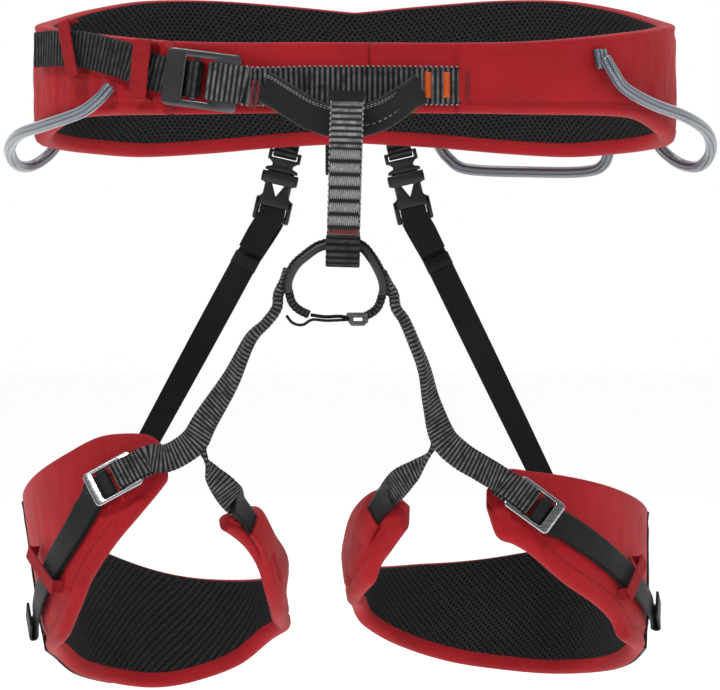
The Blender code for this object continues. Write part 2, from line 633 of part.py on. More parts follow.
def build_rear_adjuster(side, leg_pivot):
    origin, axes = rear_axes(side)
    across, down, back = axes
    black = material("black webbing", BLACK, 0.7)
    plastic = material("black buckle plastic", BLACK, 0.4)
    elastic = material("black elastic", BLACK, 0.8)

    def local(u, d, b=0.0):
        return origin + across * u + down * d + back * b

    # The tab sewn to the belt's outer face, down its back and through the plug's slot.
    angle = math.degrees(math.asin((RISER_BUCKLE_X[side] - BELT_CENTRE_X) / BELT_HALF_WIDTH))
    angle = 180 - angle
    tab_z = [0.0300, 0.0100, -0.0080, -0.0200]
    route = [belt_point(angle, 0.0018, z) for z in tab_z]
    route += [local(0, -0.0150, -0.0033), local(0, -0.0108, -0.0033), local(0, -0.0091, -0.0027)]
    route += [local(0, -0.0086, -0.0008), local(0, -0.0086, 0.0008), local(0, -0.0091, 0.0027)]
    route += [local(0, -0.0108, 0.0033), local(0, -0.0160, 0.0033)]
    tangent = (belt_point(angle + 1, 0, 0) - belt_point(angle - 1, 0, 0)).normalized()
    tangent = tangent if tangent.dot(across) > 0 else -tangent
    sideways = [tangent] * len(tab_z) + [across] * 8
    add(f"riser_tab_{side}", strap(route, sideways, 0.0126, 0.0014), black)
    # The plug: a slotted frame with a guide tongue and two prongs.
    plug = add(f"riser_plug_{side}", box((-0.0086, -0.0115, -0.0020), (0.0086, -0.0003, 0.0020), axes, origin), plastic)
    slot = box((-0.0068, -0.0102, -0.0040), (0.0068, -0.0072, 0.0040), axes, origin)
    cutters = [add(f"plug_slot_{side}", slot, plastic, guide=True)]
    prongs = [
        box((-0.0071, -0.0010, -0.0015), (-0.0045, 0.0140, 0.0015), axes, origin),
        box((0.0045, -0.0010, -0.0015), (0.0071, 0.0140, 0.0015), axes, origin),
        box((-0.0014, -0.0010, -0.0012), (0.0014, 0.0120, 0.0012), axes, origin),
    ]
    for i, prong in enumerate(prongs):
        guide = add(f"plug_prong_{side}_{i}", prong, plastic, guide=True)
        join = plug.modifiers.new("Join", "BOOLEAN")
        join.operation = "UNION"
        join.solver = "EXACT"
        join.object = guide
    cut(plug, cutters)
    # The socket: a flat box, open at the top and at both sides, with a bar for the elastic.
    carrier = pivot(f"riser_socket_slide_{side}", origin)
    carrier.parent = leg_pivot
    carrier.location = origin - leg_pivot.location
    body = box((-0.0095, 0.0003, -0.0040), (0.0095, 0.0262, 0.0040), axes, origin)
    socket = add_at(f"riser_socket_{side}", body, plastic, carrier, origin)
    cavity = box((-0.0081, -0.0020, -0.0027), (0.0081, 0.0158, 0.0027), axes, origin)
    windows = box((-0.0120, 0.0060, -0.0020), (0.0120, 0.0130, 0.0020), axes, origin)
    bar_slot = box((-0.0077, 0.0184, -0.0060), (0.0077, 0.0226, 0.0060), axes, origin)
    cut(
        socket,
        [
            add(f"socket_cavity_{side}", cavity, plastic, guide=True),
            add(f"socket_windows_{side}", windows, plastic, guide=True),
            add(f"socket_slot_{side}", bar_slot, plastic, guide=True),
        ],
    )
    # The elastic: round the socket's bar, then down to the leg loop's outer rear.
    leg = LEGS[side]
    foot_angle = ELASTIC_FOOT_ANGLE[side]
    outward = leg_outward(leg, foot_angle)
    foot_top = leg_edges(leg, foot_angle)[0]
    foot = [leg_point(leg, foot_angle, foot_top - drop, 0.0034) for drop in (0.0040, 0.0240)]
    bar = local(0, 0.0206)
    near = foot[0] + Vector((0, 0, 0.0110)) + outward * 0.0012
    run = (near - bar).normalized()
    behind = run.cross(across).normalized()
    behind = behind if behind.y > 0 else -behind
    tail = [bar + run * 0.0240 - back * 0.0050, bar + run * 0.0120 - back * 0.0052]
    wrap = [local(0, 0.0240, -0.0058), local(0, 0.0208, -0.0052), local(0, 0.0203, -0.0030)]
    wrap += [local(0, 0.0203, 0.0030), local(0, 0.0208, 0.0052), local(0, 0.0240, 0.0058), local(0, 0.0275, 0.0056)]
    route = tail + wrap
    turn = [across] * len(route)
    level = outward.cross(Vector((0, 0, 1))).normalized()
    level = level if level.dot(across) > 0 else -level
    start = bar + run * 0.0300 + behind * 0.0012
    for step in range(6):
        share = step / 5
        route.append(start.lerp(near, share))
        turn.append(across.lerp(level, share))
    route += foot
    turn += [level] * 2
    add(f"elastic_riser_{side}", strap(route, turn, RISER_WIDTH, 0.0014), elastic, leg_pivot)


def add_at(name, mesh, made_of, parent, place):
    """Like add, for a parent that itself hangs from another empty."""
    bmesh.ops.translate(mesh, verts=mesh.verts, vec=Vector(parent.location) - place)
    return add(name, mesh, made_of, parent)


# ---- Leg loops ----


def leg_edges(leg, angle):
    """Heights of a leg loop's top and bottom edges, at degrees from its front towards its outer side."""
    top = np.interp(angle, leg["top_angles"], leg["top"])
    return top, np.interp(angle, leg["bottom_angles"], leg["bottom"])


def leg_outward(leg, angle):
    """The outward direction, square to the slanted surface."""
    turn = math.radians(angle)
    along = Vector((leg["side"] * leg["half_width"] * math.cos(turn), leg["half_depth"] * math.sin(turn), 0))
    rise = Vector((-leg["slope"][0], -leg["slope"][1], 1))
    out = along.cross(rise).normalized()
    return out if out.dot(Vector((leg["side"] * math.sin(turn), -math.cos(turn), 0))) > 0 else -out


def leg_point(leg, angle, z, offset):
    turn = math.radians(angle)
    drop = LEG_REFERENCE_Z - z
    base = Vector(
        (
            leg["centre"][0] + leg["side"] * leg["half_width"] * math.sin(turn) + leg["slope"][0] * drop,
            leg["centre"][1] - leg["half_depth"] * math.cos(turn) + leg["slope"][1] * drop,
            z,
        )
    )
    return base + leg_outward(leg, angle) * offset


def leg_rise(leg):
    """The direction up the slanted surface."""
    return Vector((-leg["slope"][0], -leg["slope"][1], 1)).normalized()


def leg_band(leg, section):
    stops = angles_between(*leg["ends"], 6.5)
    return skin([[leg_point(leg, angle, z, offset) for offset, z in section(angle)] for angle in stops])


def build_leg(side):
    leg = LEGS[side]
    red = material("red nylon shell", RED, 0.75)
    black = material("black mesh liner", BLACK, 0.9)
    foam_grey = material("closed cell foam", GREY, 0.9)
    hinge = pivot(f"leg_{side}_hinge", leg["pivot"])
    leaf, inner = SHELL_THICKNESS, -LEG_THICKNESS

    def shell_section(angle):
        top, bottom = leg_edges(leg, angle)
        hem = min(LEG_HEM, (top - bottom) * 0.3)
        return [
            (0, bottom),
            (0, top),
            (inner, top),
            (inner, top - hem * 0.6),
            (inner + leaf, top - hem * 0.6),
            (inner + leaf, top - leaf),
            (-leaf, top - leaf),
            (-leaf, bottom + leaf),
            (inner + leaf, bottom + leaf),
            (inner + leaf, bottom + hem),
            (inner, bottom + hem),
            (inner, bottom),
        ]

    def foam_section(angle):
        top, bottom = leg_edges(leg, angle)
        edge = leaf + GAP
        outer, inward = -leaf - GAP, inner + leaf + GAP
        return [(inward, bottom + edge), (outer, bottom + edge), (outer, top - edge), (inward, top - edge)]

    def liner_section(angle):
        top, bottom = leg_edges(leg, angle)
        hem = min(LEG_HEM, (top - bottom) * 0.3)
        low, high = bottom + hem + GAP, top - hem * 0.6 - GAP
        return [(inner, low), (inner + leaf, low), (inner + leaf, high), (inner, high)]

    add(f"leg_shell_{side}", leg_band(leg, shell_section), red, hinge)
    add(f"leg_foam_{side}", leg_band(leg, foam_section), foam_grey, hinge)
    add(f"leg_liner_{side}", leg_band(leg, liner_section), black, hinge)
    build_leg_straps(side, hinge)
    return hinge


def smooth_ribbon(stops, steps):
    """Route and width directions through (point, direction) pairs."""
    return smooth_route([p for p, _ in stops], steps), smooth_route([a for _, a in stops], steps)


def build_leg_straps(side, hinge):
    leg = LEGS[side]
    black = material("black webbing", BLACK, 0.7)
    grey = material("grey ribbed webbing", GREY, 0.7)
    red = material("red nylon shell", RED, 0.75)
    angle, z, rise = leg["buckle"]
    origin, out = leg_point(leg, angle, z, LEG_BUCKLE_OFFSET), leg_outward(leg, angle)
    slant = leg_rise(leg)
    towards = out.cross(slant).normalized()
    if towards.x * leg["side"] > 0:
        towards = -towards
    right = towards * math.cos(math.radians(rise)) + slant * math.sin(math.radians(rise))
    up = out.cross(right).normalized()
    up = up if up.z > 0 else -up
    build_buckle("leg", f"leg_buckle_{side}", origin, (right, up, out), material("steel buckle", STEEL, 0.25, 1.0), hinge)

    def local(u, w):
        return origin + right * u + out * w

    # The riser from the tie-in point, folded round the buckle's bar.
    folded = fold_over_bar("leg", local)
    stops = [*leg["riser"], (folded[0], up), (folded[1], up)]
    route, across = smooth_ribbon(stops, 2)
    route += folded[2:]
    across += [up] * len(folded[2:])
    add(f"riser_{side}", strap(route, across, LEG_STRAP_WIDTH, LEG_STRAP_THICKNESS), grey, hinge)
    # Its inner branch, to the pad's inner end.
    foot = [leg_point(leg, *place, 0.0019) for place in leg["inner_foot"]]
    foot_out = leg_outward(leg, leg["inner_foot"][0][0])
    foot_side = (foot[1] - foot[0]).normalized().cross(foot_out)
    last = Vector(leg["inner"][-1][1])
    foot_side = foot_side if foot_side.dot(last) > 0 else -foot_side
    route, across = smooth_ribbon([*leg["inner"], (foot[0], foot_side), (foot[1], foot_side)], 3)
    add(f"riser_inner_{side}", strap(route, across, LEG_STRAP_WIDTH, LEG_STRAP_THICKNESS), grey, hinge)
    # The adjusting strap: sewn down on the pad, round the slider, and back as a tail with a folded end.
    lower, upper = 0.0014, 0.0034
    places = smooth_route([(*place, 0.0) for place in leg["strap"]], 4)
    places = [(place[0], place[1]) for place in places]

    def strap_side(place, before):
        out_here = leg_outward(leg, place[0])
        side_here = (leg_point(leg, *place, 0) - leg_point(leg, *before, 0)).normalized().cross(out_here)
        return side_here if side_here.dot(up) > 0 else -side_here

    sides = [strap_side(place, before) for place, before in zip(places[1:], places)]
    sides = [sides[0], *sides]
    turned = turn_round_slider("leg", local)
    sewn = len(places) * 2 // 3
    route = [leg_point(leg, *place, lower) for place in reversed(places[:sewn])] + turned
    across = list(reversed(sides[:sewn])) + [up] * len(turned)
    route += [leg_point(leg, *place, upper) for place in places]
    across += sides
    angle, z = places[-1]
    for offset, ahead in ((upper + 0.0010, 1.6), (upper + 0.0026, 1.8), (upper + 0.0034, 0.2), (upper + 0.0030, -7.0)):
        route.append(leg_point(leg, angle + ahead, z - ahead * 0.0009, offset))
        across.append(sides[-1])
    add(f"leg_adjusting_strap_{side}", strap(route, across, LEG_STRAP_WIDTH, LEG_STRAP_THICKNESS), black, hinge)
    high, low = (leg_point(leg, *place, 0.0014) for place in leg["keeper"])
    middle = leg_outward(leg, (leg["keeper"][0][0] + leg["keeper"][1][0]) / 2)
    keeper_over(f"leg_keeper_{side}", low, high, middle, 0.0055, 0.0052, red, hinge)


# ---- Gear loops and the haul loop ----


def build_gear_loop(name, route):
    """A tube that swings about the line through its two ends."""
    cord = material("grey gear tube", CORD_GREY, 0.35)
    ends = (Vector(route[0]) + Vector(route[-1])) / 2
    swing = pivot(f"{name}_axis", ends)
    points = smooth_route(route, 3)
    curve = bpy.data.curves.new(name, "CURVE")
    curve.dimensions = "3D"
    curve.bevel_depth = GEAR_TUBE_RADIUS
    curve.bevel_resolution = 2
    curve.use_fill_caps = True
    spline = curve.splines.new("POLY")
    spline.points.add(len(points) - 1)
    for target, point in zip(spline.points, points):
        target.co = (*(point - ends), 1)
    curve.materials.append(cord)
    tube = bpy.data.objects.new(name, curve)
    bpy.context.collection.objects.link(tube)
    tube.parent = swing


def build_gear_loops():
    front_left = [(-45.6, 0.0046, -0.0035), (-47.5, 0.0075, -0.0100), (-52.0, 0.0085, -0.0160),
                  (-63.0, 0.0095, -0.0212), (-76.0, 0.0105, -0.0245), (-89.0, 0.0125, -0.0305),
                  (-99.0, 0.0130, -0.0372), (-107.0, 0.0120, -0.0375), (-113.0, 0.0095, -0.0310),
                  (-117.0, 0.0065, -0.0190), (-118.0, 0.0046, -0.0100)]
    front_right = [(47.2, 0.0046, 0.0100), (48.0, 0.0075, 0.0035), (50.5, 0.0085, -0.0040),
                   (58.0, 0.0095, -0.0110), (70.0, 0.0125, -0.0165), (82.0, 0.0160, -0.0225),
                   (92.0, 0.0185, -0.0310), (100.0, 0.0170, -0.0380), (107.0, 0.0130, -0.0365),
                   (112.0, 0.0080, -0.0280), (113.0, 0.0046, -0.0170)]
    rear_right = [(127.0, 0.0046, -0.0120), (128.0, 0.0070, -0.0240), (130.5, 0.0090, -0.0350),
                  (136.0, 0.0104, -0.0385), (148.0, 0.0106, -0.0380), (159.5, 0.0092, -0.0362),
                  (163.0, 0.0080, -0.0305), (165.0, 0.0066, -0.0220), (166.0, 0.0046, -0.0120)]
    rear_left = [(-127.0, 0.0046, 0.0040), (-128.5, 0.0070, -0.0080), (-131.0, 0.0090, -0.0170),
                 (-137.0, 0.0104, -0.0215), (-147.0, 0.0106, -0.0215), (-155.0, 0.0090, -0.0180),
                 (-158.0, 0.0068, -0.0090), (-159.0, 0.0046, 0.0040)]
    for name, stops in (
        ("gear_loop_front_left", front_left),
        ("gear_loop_front_right", front_right),
        ("gear_loop_rear_right", rear_right),
        ("gear_loop_rear_left", rear_left),
    ):
        build_gear_loop(name, [belt_point(*stop) for stop in stops])


def build_haul_loop():
    black = material("black webbing", BLACK, 0.7)
    x = -0.0107
    back = belt_point(180, 0, 0).y
    swing = pivot("haul_loop_axis", (x, back + 0.0035, -0.0150))
    outline = [(0.0012, 0.0), (0.0012, -0.0060), (0.0022, -0.0150), (0.0034, -0.0215), (0.0052, -0.0236),
               (0.0070, -0.0215), (0.0082, -0.0150), (0.0082, -0.0060), (0.0070, -0.0012), (0.0035, 0.0010)]
    route = [Vector((x, back + 0.0002 + depth, -0.0150 + z)) for depth, z in outline]
    add("haul_loop", strap(route, [Vector((1, 0, 0))] * len(route), 0.0080, 0.0013, closed=True), black, swing)


# ---- Build ----


def main():
    for old in list(bpy.data.objects):
        bpy.data.objects.remove(old)
    build_belt()
    build_waist_buckle()
    build_waist_keepers()
    build_tie_in()
    build_bridge()
    for side in LEGS:
        hinge = build_leg(side)
        build_rear_adjuster(side, hinge)
    build_gear_loops()
    build_haul_loop()


main()
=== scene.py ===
import json
import math

import bmesh
import bpy
from mathutils import Matrix, Vector, noise

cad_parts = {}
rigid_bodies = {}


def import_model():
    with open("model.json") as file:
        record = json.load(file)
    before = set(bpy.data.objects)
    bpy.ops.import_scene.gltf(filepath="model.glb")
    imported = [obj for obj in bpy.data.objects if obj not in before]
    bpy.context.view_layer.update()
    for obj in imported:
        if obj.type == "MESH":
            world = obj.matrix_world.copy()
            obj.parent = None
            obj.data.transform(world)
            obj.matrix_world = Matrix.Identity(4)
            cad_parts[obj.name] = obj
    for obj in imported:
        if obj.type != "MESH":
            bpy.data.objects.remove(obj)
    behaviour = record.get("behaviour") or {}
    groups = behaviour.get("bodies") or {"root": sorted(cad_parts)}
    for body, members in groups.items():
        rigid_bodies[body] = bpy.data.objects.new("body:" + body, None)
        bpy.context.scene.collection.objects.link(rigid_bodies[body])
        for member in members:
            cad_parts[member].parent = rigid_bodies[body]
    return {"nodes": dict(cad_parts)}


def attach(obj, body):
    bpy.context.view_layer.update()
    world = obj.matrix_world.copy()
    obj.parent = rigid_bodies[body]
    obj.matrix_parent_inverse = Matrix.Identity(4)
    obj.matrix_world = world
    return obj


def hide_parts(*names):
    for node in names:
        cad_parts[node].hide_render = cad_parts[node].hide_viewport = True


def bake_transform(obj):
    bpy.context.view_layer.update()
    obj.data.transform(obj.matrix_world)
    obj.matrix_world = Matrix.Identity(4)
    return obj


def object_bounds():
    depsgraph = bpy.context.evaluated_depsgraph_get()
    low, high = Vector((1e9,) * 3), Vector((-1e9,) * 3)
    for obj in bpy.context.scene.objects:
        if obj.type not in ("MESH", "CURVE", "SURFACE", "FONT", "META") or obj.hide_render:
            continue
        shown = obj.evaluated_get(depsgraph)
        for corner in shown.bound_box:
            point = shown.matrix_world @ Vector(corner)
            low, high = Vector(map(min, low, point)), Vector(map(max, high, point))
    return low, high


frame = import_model()
cadLow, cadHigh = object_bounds()
print("frame loaded:", len(frame["nodes"]), "nodes")

scene = bpy.context.scene
upAxis = Vector((0, 0, 1))


# Camera, floor and light

stageValues = {
    "cameraX": 0.0035,
    "cameraHeight": -0.1285,
    "cameraDistance": 1.9,
    "viewWidth": 0.36,  # metres across at the object
    "floorDrop": 0.06,  # the harness hangs this far above the floor
    "floorColour": (0.98, 0.98, 0.98, 1),
    "floorGlow": 0.32,
    "worldLight": 1.0,
    "frontLight": 0.22,
}


def addCamera():
    data = bpy.data.cameras.new("camera")
    data.sensor_width = 36
    data.lens = data.sensor_width * stageValues["cameraDistance"] / stageValues["viewWidth"]
    camera = bpy.data.objects.new("camera", data)
    scene.collection.objects.link(camera)
    camera.location = (stageValues["cameraX"], -stageValues["cameraDistance"], stageValues["cameraHeight"])
    camera.rotation_euler = (math.radians(90), 0, 0)
    scene.camera = camera


def addLight(name, place, aim, size, power):
    data = bpy.data.lights.new(name, "AREA")
    data.shape = "DISK"
    data.size = size
    data.energy = power
    light = bpy.data.objects.new(name, data)
    scene.collection.objects.link(light)
    light.location = place
    light.rotation_euler = (Vector(aim) - Vector(place)).to_track_quat("-Z", "Y").to_euler()


def addStage():
    mesh = bmesh.new()
    bmesh.ops.create_circle(mesh, cap_ends=True, segments=96, radius=30)
    bmesh.ops.translate(mesh, verts=mesh.verts, vec=(0, 0, cadLow.z - stageValues["floorDrop"]))
    data = bpy.data.meshes.new("floor")
    mesh.to_mesh(data)
    mesh.free()
    floor = bpy.data.objects.new("floor", data)
    scene.collection.objects.link(floor)
    pale = bpy.data.materials.new("paleFloor")
    pale.use_nodes = True
    shader = pale.node_tree.nodes["Principled BSDF"]
    shader.inputs["Base Color"].default_value = stageValues["floorColour"]
    shader.inputs["Roughness"].default_value = 0.9
    shader.inputs["Specular IOR Level"].default_value = 0.1
    shader.inputs["Emission Color"].default_value = (1, 1, 1, 1)
    shader.inputs["Emission Strength"].default_value = stageValues["floorGlow"]
    data.materials.append(pale)
    world = bpy.data.worlds.new("studio")
    world.use_nodes = True
    tree = world.node_tree
    sky = tree.nodes["Background"]
    sky.inputs["Color"].default_value = (1, 1, 1, 1)
    # Less light comes from the front, so that the folds keep their shade.
    direction = tree.nodes.new("ShaderNodeTexCoord")
    split = tree.nodes.new("ShaderNodeSeparateXYZ")
    ramp = tree.nodes.new("ShaderNodeMapRange")
    ramp.interpolation_type = "SMOOTHSTEP"
    ramp.inputs["From Min"].default_value = -0.5
    ramp.inputs["From Max"].default_value = 0.3
    ramp.inputs["To Min"].default_value = stageValues["frontLight"]
    ramp.inputs["To Max"].default_value = stageValues["worldLight"]
    tree.links.new(direction.outputs["Generated"], split.inputs[0])
    tree.links.new(split.outputs[1], ramp.inputs["Value"])
    tree.links.new(ramp.outputs[0], sky.inputs["Strength"])
    scene.world = world
    centre = (0, 0, -0.12)
    addLight("keyLight", (-0.8, -1.3, 1.5), centre, 0.35, 21)
    addLight("fillLight", (1.5, -1.2, 0.3), centre, 0.8, 4)
    addLight("topLight", (0.1, 0.3, 1.6), centre, 0.8, 6)
    scene.view_settings.view_transform = "Standard"


addCamera()
addStage()
print("camera, floor and light ready")


# Small helpers for shapes


def smoothStep(value, start, end):
    share = min(1.0, max(0.0, (value - start) / (end - start)))
    return share * share * (3 - 2 * share)


# A Catmull-Rom line through the points.
def smoothLine(points, perSpan, closed=False):
    if closed:
        padded = [points[-1], *points, points[0], points[1]]
    else:
        padded = [2 * points[0] - points[1], *points, 2 * points[-1] - points[-2]]
    line = []
    for before, start, end, after in zip(padded, padded[1:], padded[2:], padded[3:]):
        for step in range(perSpan):
            t = step / perSpan
            bend = (2 * before - 5 * start + 4 * end - after) * t**2
            twist = (3 * start - 3 * end + after - before) * t**3
            line.append(0.5 * (2 * start + (end - before) * t + bend + twist))
    line.append(points[0].copy() if closed else points[-1].copy())
    return line


# A smooth value between the entries of a table.
def tableValue(places, values, place):
    if place <= places[0]:
        return values[0]
    if place >= places[-1]:
        return values[-1]
    i = max(k for k in range(len(places) - 1) if places[k] <= place)

    def slopeAt(k):
        low, high = max(k - 1, 0), min(k + 1, len(places) - 1)
        return (values[high] - values[low]) / (places[high] - places[low])

    span = places[i + 1] - places[i]
    t = (place - places[i]) / span
    start, end = values[i], values[i + 1]
    first, last = slopeAt(i) * span, slopeAt(i + 1) * span
    rise = (3 * t * t - 2 * t**3) * (end - start)
    return start + rise + (t**3 - 2 * t * t + t) * first + (t**3 - t * t) * last


# Turns a bmesh into a named piece that rides on a body and stands for its CAD nodes.
def finishPiece(name, mesh, material, body, smooth=True, stands=()):
    data = bpy.data.meshes.new(name)
    mesh.to_mesh(data)
    mesh.free()
    if smooth:
        data.shade_smooth()
    piece = bpy.data.objects.new(name, data)
    scene.collection.objects.link(piece)
    data.materials.append(material)
    if body:
        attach(piece, body)
    if stands:
        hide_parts(*stands)
    return piece


# A grid of quads laid over a surface; place(i, j) gives a corner's position and its UV.
def wrapGrid(columns, rows, place, closedAcross=False, closedAlong=False):
    mesh = bmesh.new()
    bmesh.ops.create_grid(mesh, x_segments=columns, y_segments=rows, size=0.5)
    uvLayer = mesh.loops.layers.uv.new("UVMap")
    spots = {}
    for vert in mesh.verts:
        key = (round((vert.co.x + 0.5) * columns), round((vert.co.y + 0.5) * rows))
        spots[vert] = place(*key)
    for face in mesh.faces:
        for loop in face.loops:
            loop[uvLayer].uv = spots[loop.vert][1]
    for vert, (point, _) in spots.items():
        vert.co = point
    if closedAcross or closedAlong:
        bmesh.ops.remove_doubles(mesh, verts=mesh.verts, dist=1e-6)
    if closedAcross and not closedAlong:
        rims = [edge for edge in mesh.edges if edge.is_boundary]
        bmesh.ops.holes_fill(mesh, edges=rims, sides=0)
    bmesh.ops.recalc_face_normals(mesh, faces=mesh.faces)
    return mesh


# Even stations along a smooth line: distance, point, direction ahead, width side and outward.
def stationsAlong(points, sides, step, closed=False):
    points = [Vector(point) for point in points]
    sides = [Vector(side) for side in sides] if isinstance(sides, list) else [Vector(sides)] * len(points)
    line = smoothLine(points, 12, closed)
    turn = smoothLine(sides, 12, closed)
    lengths = [0.0]
    for start, end in zip(line, line[1:]):
        lengths.append(lengths[-1] + (end - start).length)
    count = max(4, round(lengths[-1] / step))
    places, widths, k = [], [], 0
    for i in range(count + 1):
        distance = lengths[-1] * i / count
        while k < len(lengths) - 2 and lengths[k + 1] < distance:
            k += 1
        share = (distance - lengths[k]) / max(lengths[k + 1] - lengths[k], 1e-9)
        places.append(line[k].lerp(line[k + 1], share))
        widths.append(turn[k].lerp(turn[k + 1], share))
    stations = []
    for i, (point, side) in enumerate(zip(places, widths)):
        if closed:
            ahead = (places[(i + 1) % count] - places[(i - 1) % count]).normalized()
        else:
            ahead = (places[min(i + 1, count)] - places[max(i - 1, 0)]).normalized()
        side = (side - side.dot(ahead) * ahead).normalized()
        stations.append((lengths[-1] * i / count, point, ahead, side, ahead.cross(side).normalized()))
    return stations


# Corners round a strap's section: share of the flat width, and the rounded edge's direction.
def bandSection(flats, rounds):
    corners = []
    for end in (1, -1):
        for i in range(flats):
            corners.append((end * (2 * i / flats - 1), 0.0, float(end)))
        for i in range(rounds):
            turn = math.pi * i / rounds
            corners.append((float(end), end * math.sin(turn), end * math.cos(turn)))
    return corners


# From 0 in the groove to 1 on the crest of a woven rib.
def ribHeight(distance, period):
    return abs(math.sin(math.pi * distance / period)) ** 0.7


# A strap or a tube along a line. rib is (period, height); shape(share) gives width and thickness
# factors.
def makeBand(
    points, sides, width, thickness, step=0.001, rib=None, closed=False, flats=6, rounds=4, shape=None
):
    stations = stationsAlong(points, sides, step, closed)
    section = bandSection(flats, rounds)
    total = stations[-1][0]
    period = rib[0] if rib else 0
    if rib and closed:
        period = total / round(total / rib[0])
    perRib = 0.0025 / period if rib else 1

    def place(i, j):
        distance, point, _, side, out = stations[0 if closed and i == len(stations) - 1 else i]
        along, across, above = section[j % len(section)]
        wide, thick = shape(distance / total) if shape else (1, 1)
        half, deep = width * wide / 2, thickness * thick / 2
        if rib:
            crest = ribHeight(distance, period)
            deep -= rib[1] * (1 - crest)
            half -= rib[1] * (1 - ribHeight(distance + period / 2, period)) * 0.6
        spread = along * (half - deep) + across * deep
        spot = point + side * spread + out * above * deep
        return spot, (total * i / (len(stations) - 1) * perRib, spread)

    return wrapGrid(len(stations) - 1, len(section), place, closedAcross=True, closedAlong=closed)


# Adds a bevelled block between two corners.
def blockInto(mesh, low, high, bevel=0.0003, segments=2):
    made = bmesh.ops.create_cube(mesh, size=1)["verts"]
    low, high = Vector(low), Vector(high)
    bmesh.ops.scale(mesh, verts=made, vec=high - low)
    bmesh.ops.translate(mesh, verts=made, vec=(low + high) / 2)
    edges = list({edge for vert in made for edge in vert.link_edges})
    bmesh.ops.bevel(
        mesh, geom=edges, offset=bevel, segments=segments, profile=0.5, affect="EDGES", material=-1,
        clamp_overlap=True
    )


# Adds a rounded plate with an opening. size is (length, height); hole is (left, right, half
# height).
def framePlate(mesh, size, hole, thickness, corner, edge):
    plate = bmesh.new()
    bmesh.ops.create_grid(plate, x_segments=1, y_segments=1, size=0.5)
    bmesh.ops.scale(plate, vec=(size[0], size[1], 1), verts=plate.verts)
    bmesh.ops.bevel(
        plate, geom=list(plate.verts), offset=corner, segments=5, profile=0.5, affect="VERTICES",
        material=-1
    )
    middle = next(iter(plate.faces))
    margin = corner * 0.3
    bmesh.ops.inset_individual(plate, faces=[middle], thickness=margin)
    centre = (hole[0] + hole[1]) / 2
    for vert in middle.verts:
        vert.co.x = centre + vert.co.x / (size[0] / 2 - margin) * (hole[1] - hole[0]) / 2
        vert.co.y = vert.co.y / (size[1] / 2 - margin) * hole[2]
    bmesh.ops.delete(plate, geom=[middle], context="FACES_ONLY")
    bmesh.ops.solidify(plate, geom=list(plate.faces), thickness=thickness)
    bmesh.ops.recalc_face_normals(plate, faces=plate.faces)
    middleZ = sum(vert.co.z for vert in plate.verts) / len(plate.verts)
    bmesh.ops.translate(plate, verts=plate.verts, vec=(0, 0, -middleZ))
    sharp = [e for e in plate.edges if len(e.link_faces) == 2 and e.calc_face_angle() > math.radians(50)]
    bmesh.ops.bevel(plate, geom=sharp, offset=edge, segments=3, profile=0.5, affect="EDGES", material=-1)
    joinInto(mesh, plate)


# Adds another bmesh to this one, and frees it.
def joinInto(mesh, other):
    data = bpy.data.meshes.new("part")
    other.to_mesh(data)
    other.free()
    mesh.from_mesh(data)
    bpy.data.meshes.remove(data)


# Adds a plate whose outline is given for its right half, from top to bottom.
def mirroredPlate(mesh, half, low, high, bevel=0.0006):
    plate = bmesh.new()
    corners = [plate.verts.new((x, y, low)) for x, y in half]
    corners += [plate.verts.new((-x, y, low)) for x, y in reversed(half) if x]
    face = plate.faces.new(corners)
    raised = bmesh.ops.extrude_face_region(plate, geom=[face])["geom"]
    lifted = [item for item in raised if isinstance(item, bmesh.types.BMVert)]
    bmesh.ops.translate(plate, verts=lifted, vec=(0, 0, high - low))
    bmesh.ops.recalc_face_normals(plate, faces=plate.faces)
    bmesh.ops.bevel(
        plate, geom=list(plate.edges), offset=bevel, segments=3, profile=0.5, affect="EDGES", material=-1,
        clamp_overlap=True,
    )
    joinInto(mesh, plate)


# Moves a mesh made in local right, up and outward directions to its place.
def placeMesh(mesh, origin, axes):
    turn = Matrix(axes).transposed().to_4x4()
    bmesh.ops.transform(mesh, matrix=Matrix.Translation(origin) @ turn, verts=mesh.verts)
    bmesh.ops.recalc_face_normals(mesh, faces=mesh.faces)


# Adds one short stitch from start to end, with rounded ends.
def threadInto(mesh, start, end, radius, sides=6):
    length = (end - start).length
    turn = (end - start).to_track_quat("Z", "Y").to_matrix().to_4x4()
    place = Matrix.Translation((start + end) / 2) @ turn
    made = bmesh.ops.create_cone(
        mesh, cap_ends=True, segments=sides, radius1=radius, radius2=radius, depth=length * 0.8,
        matrix=place
    )["verts"]
    caps = [f for f in {f for v in made for f in v.link_faces} if len(f.verts) == sides and sides != 4]
    for cap in caps:
        tip = cap.calc_center_median()
        outward = (tip - (start + end) / 2).normalized()
        poked = bmesh.ops.poke(mesh, faces=[cap])["verts"]
        bmesh.ops.translate(mesh, verts=poked, vec=outward * length * 0.1)


# Adds a running stitch along a line of points.
def stitchLine(mesh, points, out, length=0.0022, gap=0.0009, radius=0.00022):
    stations = stationsAlong(points, upAxis, length + gap)
    for start, end in zip(stations, stations[1:]):
        push = out(start[1]) * radius * 0.6
        threadInto(mesh, start[1] + push, start[1].lerp(end[1], length / (length + gap)) + push, radius)


# Adds a dense zigzag of thread: a bar of this height along one direction and width across it.
def barTack(mesh, centre, along, across, height, width, out, pitch=0.00045, radius=0.00024):
    count = round(height / pitch)
    side = across * width / 2
    for i in range(count):
        low = centre + along * (i / count - 0.5) * height
        high = centre + along * ((i + 1) / count - 0.5) * height
        swing = side if i % 2 else -side
        threadInto(mesh, low - swing + out * radius, high + swing + out * radius, radius)


print("helpers ready")


# Materials


